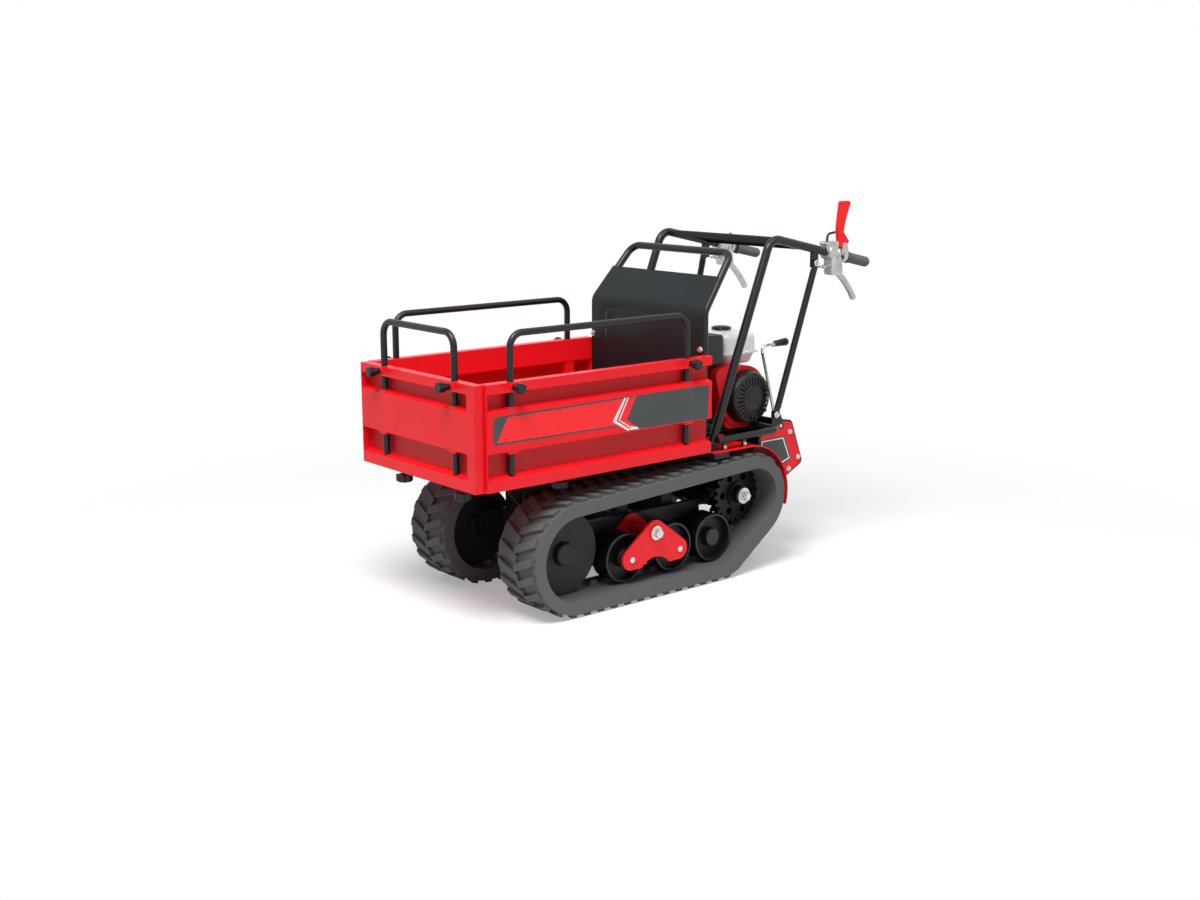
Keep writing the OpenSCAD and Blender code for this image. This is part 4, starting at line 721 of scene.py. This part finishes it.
neck = [(height, 0.0, NECK_R) for height in (NECK_LOW, NECK_TOP)]
loft(shape, middle_of("fuel_cap"), NECK_R, NECK_R, neck)
foot = [(height, 0.0, FOOT_ROUND) for height in (tank_low.z, FOOT_TOP)]
for s in (-1, 1):
    loft(shape, tank_middle + Vector((s * FOOT_X, FOOT_Y, 0.0)), FOOT_HALF, FOOT_DEEP, foot)
pressed_tank = lofted_piece(
    "pressed_tank", shape, [tank_paint, tank_shade], "chassis", "fuel_tank"
)
# Faces below the seam take the darker copy: painted shade.
for face in pressed_tank.data.polygons:
    face.material_index = int(face.center.z < SEAM_Z + TOUCHING)
cap_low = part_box("fuel_cap")[0]
shape = bmesh.new()
shape.from_mesh(nodes["fuel_cap"].data)
for vert in shape.verts:
    vert.co.z = CAP_FOOT + (vert.co.z - cap_low.z) * CAP_SQUASH
lofted_piece("filler_cap", shape, [black_moulding], "fuel_cap", "fuel_cap")

# %% [markdown]
# ## The grip of the gear lever
# The rod of the gear lever ends in a short moulded grip, thicker at its free end and tilted up a
# little. The rod keeps the faces of its solid. The grip is a loft with round sections, stood
# upright first and then turned on to the rod.

# %% The gear lever with its grip
# The solid's own grip, which the new one takes the place of
GRIP_LENGTH, GRIP_R, GRIP_END = 0.072, 0.011, 0.0002
GRIP_TILT = math.radians(2.0)
# Distance along the grip, and radius
GRIP_RINGS = [
    (0.0000, 0.0050), (0.0060, 0.0050), (0.0060, 0.0086), (0.0074, 0.0098), (0.0200, 0.0105),
    (0.0400, 0.0120), (0.0550, 0.0131), (0.0610, 0.0128), (0.0642, 0.0110), (0.0656, 0.0070),
]
WIDEST = max(radius for _, radius in GRIP_RINGS)
lever_low, lever_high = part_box("gear_lever")
lever_y = (lever_low.y + lever_high.y) / 2
grip_start = Vector((lever_low.x + GRIP_LENGTH, lever_y, lever_high.z - GRIP_R))


def of_old_grip(spot):
    return spot.x < grip_start.x + GRIP_END and spot.z > grip_start.z - 2 * GRIP_R


shape = bmesh.new()
upright_grip = [(along, WIDEST - radius, radius) for along, radius in GRIP_RINGS]
loft(shape, Vector(), WIDEST, WIDEST, upright_grip)
heading = Vector((-math.cos(GRIP_TILT), 0.0, math.sin(GRIP_TILT)))
turn = Vector((0.0, 0.0, 1.0)).rotation_difference(heading)
for vert in shape.verts:
    vert.co = grip_start + turn @ vert.co
for face in shape.faces:
    face.material_index = 1
grip_faces = len(shape.faces)
shape.from_mesh(nodes["gear_lever"].data)
rod_faces = list(shape.faces)[grip_faces:]
old_grip = [face for face in rod_faces if of_old_grip(face.calc_center_median())]
bmesh.ops.delete(shape, geom=old_grip, context="FACES")
lofted_piece(
    "gear_stick", shape, [zinc, black_moulding], "gear_lever", "gear_lever"
)

# %% [markdown]
# ## Screws and weld beads
# Three screws hold the starter cover, and tubes that end on a plate are welded all round. A screw
# head is a short cone on a flange, and a weld is a ring of overlapping beads. The rings stand at
# the feet of the handlebars and of the headboard, and where the pivot tube of each bogie meets
# its plates.


# %% Screw and weld trees
FLANGE_THICK = 0.0012
# Shares of the screw's radius
FLANGE_TOP, HEAD_FOOT, HEAD_TOP = 0.86, 0.66, 0.60


def screw_tree():
    sizes = [("Radius", "Float", 0.004), ("Height", "Float", 0.003)]
    tree, source, sink = new_tree("screws", sizes)
    radius = source.outputs["Radius"]

    def share(part):
        return add(tree, "ShaderNodeMath", {"operation": "MULTIPLY"}, _0=radius, _1=part).outputs[0]

    flange = add(
        tree, "GeometryNodeMeshCone", Vertices=24,
        Radius_Bottom=radius, Radius_Top=share(FLANGE_TOP), Depth=FLANGE_THICK,
    )
    head = add(
        tree, "GeometryNodeMeshCone", Vertices=6,
        Radius_Bottom=share(HEAD_FOOT), Radius_Top=share(HEAD_TOP), Depth=source.outputs["Height"],
    )
    both = tree.nodes.new("GeometryNodeJoinGeometry")
    for part in (flange, head):
        tree.links.new(part.outputs["Mesh"], both.inputs["Geometry"])
    return on_seeds(tree, source, both.outputs["Geometry"], sink)


def weld_tree():
    sizes = [("Radius", "Float", 0.015), ("Beads", "Int", 18), ("Bead", "Float", 0.003)]
    tree, source, sink = new_tree("weld_rings", sizes)
    ring = add(
        tree, "GeometryNodeMeshCircle",
        Vertices=source.outputs["Beads"], Radius=source.outputs["Radius"],
    )
    bead = add(tree, "GeometryNodeMeshIcoSphere", Radius=source.outputs["Bead"], Subdivisions=2)
    lay = add(
        tree, "GeometryNodeInstanceOnPoints",
        Points=ring.outputs["Mesh"], Instance=bead.outputs["Mesh"],
    )
    return on_seeds(tree, source, lay.outputs["Instances"], sink)


screws = screw_tree()
welds = weld_tree()
print("trees ready:", screws.name, "and", welds.name)

# %% Screws of the starter cover
SCREW_RING, SCREW_SINK = 0.0785, 0.0034
SCREW_TURNS = (98.0, 218.0, 338.0)
OUTWARDS = (-math.pi / 2, 0.0, 0.0)
screw_y = cover_back + COVER_DEPTH - SCREW_SINK
screw_seeds = []
for turn in map(math.radians, SCREW_TURNS):
    x, z = crank.x + SCREW_RING * math.cos(turn), crank.z + SCREW_RING * math.sin(turn)
    screw_seeds.append(((x, screw_y, z), OUTWARDS, 1.0))
grow(
    "starter_cover_screws", screws, screw_seeds,
    {"Radius": 0.0052, "Height": 0.0036, "Finish": tube_paint}, "chassis",
)

# %% Welds
BAR_X, BAR_Y, BAR_UP = -0.1312, 0.258, 0.0135
BAR_RUN, BAR_RISE = 0.256, 0.661
BAR_TURN = (0.0, -math.atan2(BAR_RUN, BAR_RISE), 0.0)
bar_weld_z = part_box("handlebar")[0].z + BAR_UP
grow(
    "handlebar_welds", welds,
    [((BAR_X, s * BAR_Y, bar_weld_z), BAR_TURN, 1.0) for s in (-1, 1)],
    {"Radius": 0.0148, "Beads": 22, "Bead": 0.0030, "Finish": tube_paint}, "chassis",
)
head_low, head_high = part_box("headboard_tube")
TUBE_R, TUBE_UP = 0.012, 0.0022
UPRIGHT = (0.0, 0.0, 0.0)
weld_x, weld_y, weld_z = head_high.x - TUBE_R, head_high.y - TUBE_R, head_low.z + TUBE_UP
grow(
    "headboard_welds", welds,
    [((weld_x, s * weld_y, weld_z), UPRIGHT, 1.0) for s in (-1, 1)],
    {"Radius": 0.0125, "Beads": 20, "Bead": 0.0027, "Finish": tube_paint}, "bed",
)
PIVOT_X, PIVOT_Z, PIVOT_Y, PLATE_Y = 0.138, 0.200, 0.2325, 0.0505
for side, s in (("left", 1), ("right", -1)):
    grow(
        f"bogie_welds_{side}", welds,
        [((PIVOT_X, s * (PIVOT_Y + step), PIVOT_Z), OUTWARDS, 1.0) for step in (-PLATE_Y, PLATE_Y)],
        {"Radius": 0.0225, "Beads": 30, "Bead": 0.0032, "Finish": red_paint},
        f"bogie_{side}",
    )

# %% [markdown]
# ## The bent sheets
# The headboard is one steel sheet. Its foot is folded forward on to the floor of the bed, its
# upper part bends back round the tube, and a shallow field with round corners is pressed into it.
# A plain extrusion gives the bends, but not the field. Here a net of points follows the bent
# profile, and each point is pushed forward by its distance from the field's rounded edge. The net
# is fine only where that edge runs. The tray between the handlebars is made by the same function:
# a plain sheet with a short lip at its front and rear edges. Its downward faces get a near-black
# finish, which is painted shade under the tray, and show below the front lip.


# %% Helpers for a bent sheet
def bent(corners, radii, steps):
    """A path through the corners (x, z), with each inner corner rounded by its radius."""
    path = [Vector(corners[0])]
    for i, radius in enumerate(radii, 1):
        corner = Vector(corners[i])
        arms = [(Vector(corners[j]) - corner).normalized() for j in (i - 1, i + 1)]
        half = arms[0].angle(arms[1]) / 2
        centre = corner + (arms[0] + arms[1]).normalized() * (radius / math.sin(half))
        spokes = [corner + arm * (radius / math.tan(half)) - centre for arm in arms]
        turns = [spokes[0].slerp(spokes[1], k / steps).normalized() for k in range(steps + 1)]
        path += [centre + turn * radius for turn in turns]
    return path + [Vector(corners[-1])]


def spread(first, *runs):
    """Numbers from first on; each run is (where it ends, in how many steps)."""
    numbers = [first]
    for end, steps in runs:
        start = numbers[-1]
        numbers += [start + (end - start) * k / steps for k in range(1, steps + 1)]
    return numbers


# %% The headboard's profile and field
SHEET = 0.003
LIP, LIP_R = 0.022, 0.0045
FOLD_Z, FOLD_R = 0.87033, 0.0523
BEND_STEPS = 9
FIELD_INSET, FIELD_R, FIELD_SLOPE, FIELD_RISE = 0.070, 0.030, 0.011, 0.0026
FIELD_UP, FIELD_DOWN, FIELD_EDGE = 0.040, 0.028, 0.003
LEAN_RUN, LEAN_RISE = 0.140, 0.174
TAPER_W, TAPER_IN, TAPER_Z = 0.270, 0.027, 0.866
FINE = 22

board_low, board_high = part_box("headboard")
board_x = board_high.x - LIP
board_w = board_high.y
lean = math.atan2(LEAN_RUN, LEAN_RISE)
board_top = board_high.z - SHEET * math.sin(lean)
profile = bent(
    [
        (board_high.x, board_low.z), (board_x, board_low.z), (board_x, FOLD_Z),
        (board_x - (board_top - FOLD_Z) * math.tan(lean), board_top),
    ],
    (LIP_R, FOLD_R), BEND_STEPS,
)
field_w = board_w - FIELD_INSET
field_low, field_high = board_low.z + FIELD_UP, FOLD_Z - FIELD_DOWN
edge = FIELD_R + FIELD_SLOPE
upright = spread(
    profile[BEND_STEPS + 1].y, (field_low - FIELD_EDGE, 2), (field_low + edge, FINE),
    (field_high - edge, 6), (field_high + FIELD_EDGE, FINE), (profile[BEND_STEPS + 2].y, 2),
)
columns = spread(
    -board_w, (-field_w - FIELD_EDGE, 4), (edge - field_w, FINE), (field_w - edge, 8),
    (field_w + FIELD_EDGE, FINE), (board_w, 4),
)
profile[BEND_STEPS + 2:BEND_STEPS + 2] = [Vector((board_x, z)) for z in upright[1:-1]]
print("headboard net of", len(profile), "by", len(columns), "points")


def half_width(z):
    return min(board_w, TAPER_W - TAPER_IN * max(0.0, (z - TAPER_Z) / LEAN_RISE))


def rise(y, z):
    """How far the pressed field stands out, by the distance from its rounded edge."""
    across = abs(y) - field_w + FIELD_R
    along = abs(z - (field_low + field_high) / 2) - (field_high - field_low) / 2 + FIELD_R
    outside = math.hypot(max(across, 0.0), max(along, 0.0)) + min(max(across, along), 0.0) - FIELD_R
    share = min(max(-outside / FIELD_SLOPE, 0.0), 1.0)
    return FIELD_RISE * share * share * (3 - 2 * share)


# %% The headboard and the tray
SHEET_CREASE = 40.0
LOOKS_DOWN = -0.05


def bent_sheet(name, path, shares, width_at, rise_at, node, body, under=None):
    """A net along the path and across the shares of its half width, that stands for a node."""
    net = bmesh.new()
    rows = []
    for i, spot in enumerate(path):
        along = path[min(i + 1, len(path) - 1)] - path[max(i - 1, 0)]
        outwards = Vector((along.y, -along.x)).normalized()
        row = []
        for share in shares:
            y = share * width_at(spot.y)
            place = spot + outwards * rise_at(y, spot.y)
            row.append(net.verts.new((place.x, y, place.y)))
        rows.append(row)
    for low, high in zip(rows, rows[1:]):
        for j in range(len(shares) - 1):
            net.faces.new((low[j], low[j + 1], high[j + 1], high[j]))
    piece = new_piece(name, net, dark_paint)
    settle(piece, SHEET, SHEET_CREASE)
    # Faces that look down get the near-black finish: painted shade.
    if under:
        piece.data.materials.append(under)
        for face in piece.data.polygons:
            face.material_index = int(face.normal.z < LOOKS_DOWN)
    fit(piece, body)
    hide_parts(node)


bent_sheet(
    "pressed_headboard", profile, [y / board_w for y in columns], half_width,
    lambda y, z: SHEET + rise(y, z), "headboard", "bed",
)
tray_low, tray_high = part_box("console_panel")
TRAY_LIP, TRAY_R, TRAY_STEPS = 0.022, 0.006, 6
# How far the lip's foot and the two folds lie from the ends of the solid
LIP_IN, FRONT_IN, REAR_IN = 0.0014, 0.003, 0.002
REAR_TOP, REAR_FOOT = 0.0106, 0.0006
tray_path = bent(
    [
        (tray_high.x - LIP_IN, tray_high.z - TRAY_LIP), (tray_high.x - FRONT_IN, tray_high.z),
        (tray_low.x + REAR_IN, tray_low.z + REAR_TOP), (tray_low.x, tray_low.z + REAR_FOOT),
    ],
    (TRAY_R, TRAY_R), TRAY_STEPS,
)
bent_sheet(
    "handlebar_tray", tray_path, spread(-1.0, (1.0, 8)), lambda z: tray_high.y, lambda y, z: 0.0,
    "console_panel", "chassis", under=tray_underside_shade,
)

# %% [markdown]
# ## Plain colour fields
# The left side panel and the left tail plate carry stuck-on vinyl. Here it is only plain shapes:
# a red field in a grey line, a grey block, pale chevrons and a framed grey plate. A flat face
# laid on the paint would flicker, so each shape is a thin sheet with real thickness, drawn by its
# corners and bedded a little into the paint below it.

# %% A thin sheet from its corners
MM = 0.001
BEDDED = 0.0002


def slab(name, outlines, push, finish, body):
    """A sheet with one outline, or an outline and a hole; push is its thickness as a vector."""
    shape = bmesh.new()
    loops = []
    for points in outlines:
        for step in (Vector(), Vector(push)):
            loops.append([shape.verts.new(Vector(point) + step) for point in points])
    hole = len(outlines) > 1
    for low, high in zip(loops[0::2], loops[1::2]):
        for i in range(len(low)):
            j = (i + 1) % len(low)
            shape.faces.new((low[i], low[j], high[j], high[i]))
    for level in (0, 1):
        if hole:
            outer, inner = loops[level], loops[level + 2]
            for i in range(len(outer)):
                j = (i + 1) % len(outer)
                shape.faces.new((outer[i], outer[j], inner[j], inner[i]))
        else:
            shape.faces.new(loops[level])
    bmesh.ops.recalc_face_normals(shape, faces=shape.faces)
    fit(new_piece(name, shape, finish), body)


def vinyl(name, corners, face_y, proud, finish, body, hole=None):
    """corners, and the hole's, are (x, z) in millimetres, as seen on the machine's left side."""
    outlines = [
        [(x * MM, face_y - BEDDED, z * MM) for x, z in points]
        for points in (corners, hole) if points
    ]
    slab(name, outlines, (0.0, BEDDED + proud, 0.0), finish, body)


# %% The side panel's shapes
PANEL_Y = 0.3065
FIELD = [
    (752, 566), (714, 635), (247, 641), (234, 643), (272, 574), (222, 542), (265, 541), (303, 562),
]
LINE = [
    (246, 645), (748, 641), (760, 635), (764, 624), (765, 575), (762, 564), (754, 560), (311, 558),
    (303, 563), (752, 566), (714, 635), (249, 640),
]
BLOCK = [(234, 644), (272, 574), (222, 541), (-66, 538), (-69, 641), (-67, 644)]
CHEVRON = [(281, 642), (327, 575), (265, 540), (259, 543), (313, 576), (274, 642)]
THIN_CHEVRON = [(267, 642), (304, 577), (256, 547), (252, 549), (299, 577), (263, 642)]
FOOT = [(262, 542), (254, 552), (230, 548), (222, 541)]
for name, corners, proud, finish, slot in (
    ("panel_field", FIELD, 0.00015, red_vinyl, "red_paint"),
    ("panel_line", LINE, 0.00025, grey_vinyl, "dark_paint"),
    ("panel_block", BLOCK, 0.00025, grey_vinyl, "dark_paint"),
    ("panel_chevron", CHEVRON, 0.00035, pale_vinyl, "pale_paint"),
    ("panel_thin_chevron", THIN_CHEVRON, 0.00035, pale_vinyl, "pale_paint"),
    ("panel_chevron_foot", FOOT, 0.00035, pale_vinyl, "pale_paint"),
):
    vinyl(name, corners, PANEL_Y, proud, finish, "left_panel")

# %% The tail plate's shapes
TAIL_Y = 0.2368
vinyl(
    "tail_block", [(-379, 416), (-494, 416), (-531, 331), (-470, 313), (-456, 307), (-379, 384)],
    TAIL_Y, 0.0002, grey_vinyl, "chassis",
)
vinyl(
    "tail_frame", [(-384, 411), (-489, 411), (-523, 335), (-471, 320), (-457, 313), (-384, 386)],
    TAIL_Y, 0.0003, pale_vinyl, "chassis",
    hole=[(-388, 407), (-486, 407), (-517, 338), (-470, 325), (-458, 319), (-388, 388)],
)

# %% [markdown]
# ## Closed panel ends
# The middle field of a side panel is a hollow pressing. At the rear it is closed by a small
# welded plate that has the same outline, with the grooves above and below it left open. Without
# it, daylight shows between the panel and the headboard. It is the same kind of thin sheet, only
# laid across the panel.

# %% The side panels' rear ends
END_GAP, END_THICK = 0.0005, 0.0015
panel_end_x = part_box("left_panel")[0].x + END_GAP
# Corners (y, z) in millimetres
END_PLATE = [(305.5, 537.5), (280, 530.5), (276.5, 530), (276.5, 660), (280, 659.5), (305.5, 652.5)]
for side, s in (("left", 1), ("right", -1)):
    outline = [(panel_end_x, s * y * MM, z * MM) for y, z in END_PLATE]
    push = (END_THICK, 0.0, 0.0)
    slab(f"{side}_panel_end", [outline], push, red_paint, f"{side}_panel")

# %% [markdown]
# ## Floor and light
# The photograph has a white ground with a soft shadow. A pale disc takes the shadow and fades out
# towards its edge, so no horizon shows. The world is white to the camera and to reflections and
# dimmer as a light, and the floor adds to itself, for the camera alone, what the lamps don't
# give. The large key lamp hangs high at the front left, so that the ledges of the panels throw
# soft shadows into the grooves below them. A weaker one at the left reaches the engine, which the
# headboard keeps from the first.


# %% Floor
FLOOR_R = 2.7
FADE_FROM, FADE_TO = 1.0, 2.6


def studio_floor():
    finish = Finish("studio_floor", Roughness=0.9, Specular_IOR_Level=0.0, Emission_Strength=1.0)
    grain = finish.noise(scale=0.6, detail=2.0)
    seen = finish.source("ShaderNodeLightPath", "Is Camera Ray")
    pale = grain.above(0.2, 0.8).tint((0.86, 0.86, 0.86), (0.88, 0.88, 0.88))
    shade = seen.tint(pale, (0.62, 0.62, 0.62))
    glow = seen.tint((0.0, 0.0, 0.0), (0.33, 0.33, 0.33))
    x, y = finish.part(finish.place, "X"), finish.part(finish.place, "Y")
    faded = (x * x + y * y).root().above(FADE_FROM, FADE_TO)
    return finish.ends(Base_Color=shade, Emission_Color=glow, Alpha=1 - faded)


disc = bmesh.new()
bmesh.ops.create_circle(disc, cap_ends=True, radius=FLOOR_R, segments=96)
new_piece("studio_floor", disc, studio_floor())
print("floor ready")

# %% World and lamps
AMBIENT = 0.34
world = bpy.data.worlds.new("studio_world")
world.use_nodes = True
scene.world = world
sky = world.node_tree
back = next(n for n in sky.nodes if n.type == "BACKGROUND")
back.inputs["Color"].default_value = (1.0, 1.0, 1.0, 1.0)
rays = sky.nodes.new("ShaderNodeLightPath").outputs
KINDS = ("Is Camera Ray", "Is Glossy Ray", "Is Transmission Ray")
seen, shiny, clear = (Wire(sky, rays[kind]) for kind in KINDS)
direct = seen.maths("MINIMUM", seen + shiny + clear, 1.0)
level = direct * (1.0 - AMBIENT) + AMBIENT
sky.links.new(level.socket, back.inputs["Strength"])


def soft_lamp(name, place, aim, size, watts):
    lamp = bpy.data.lights.new(name, "AREA")
    lamp.shape = "DISK"
    lamp.size = size
    lamp.energy = watts
    holder = bpy.data.objects.new(name, lamp)
    holder.location = place
    holder.rotation_euler = (Vector(aim) - Vector(place)).to_track_quat("-Z", "Y").to_euler()
    scene.collection.objects.link(holder)


soft_lamp("key_lamp", place=(2.5, 1.6, 5.2), aim=(0.0, 0.0, 0.45), size=2.6, watts=355.0)
soft_lamp("left_lamp", place=(-0.6, 2.5, 4.8), aim=(-0.2, 0.0, 0.45), size=2.2, watts=45.0)
print("light ready")

# %% [markdown]
# ## Last step
# The view layer is brought up to date.

# %% Finish
bpy.context.view_layer.update()
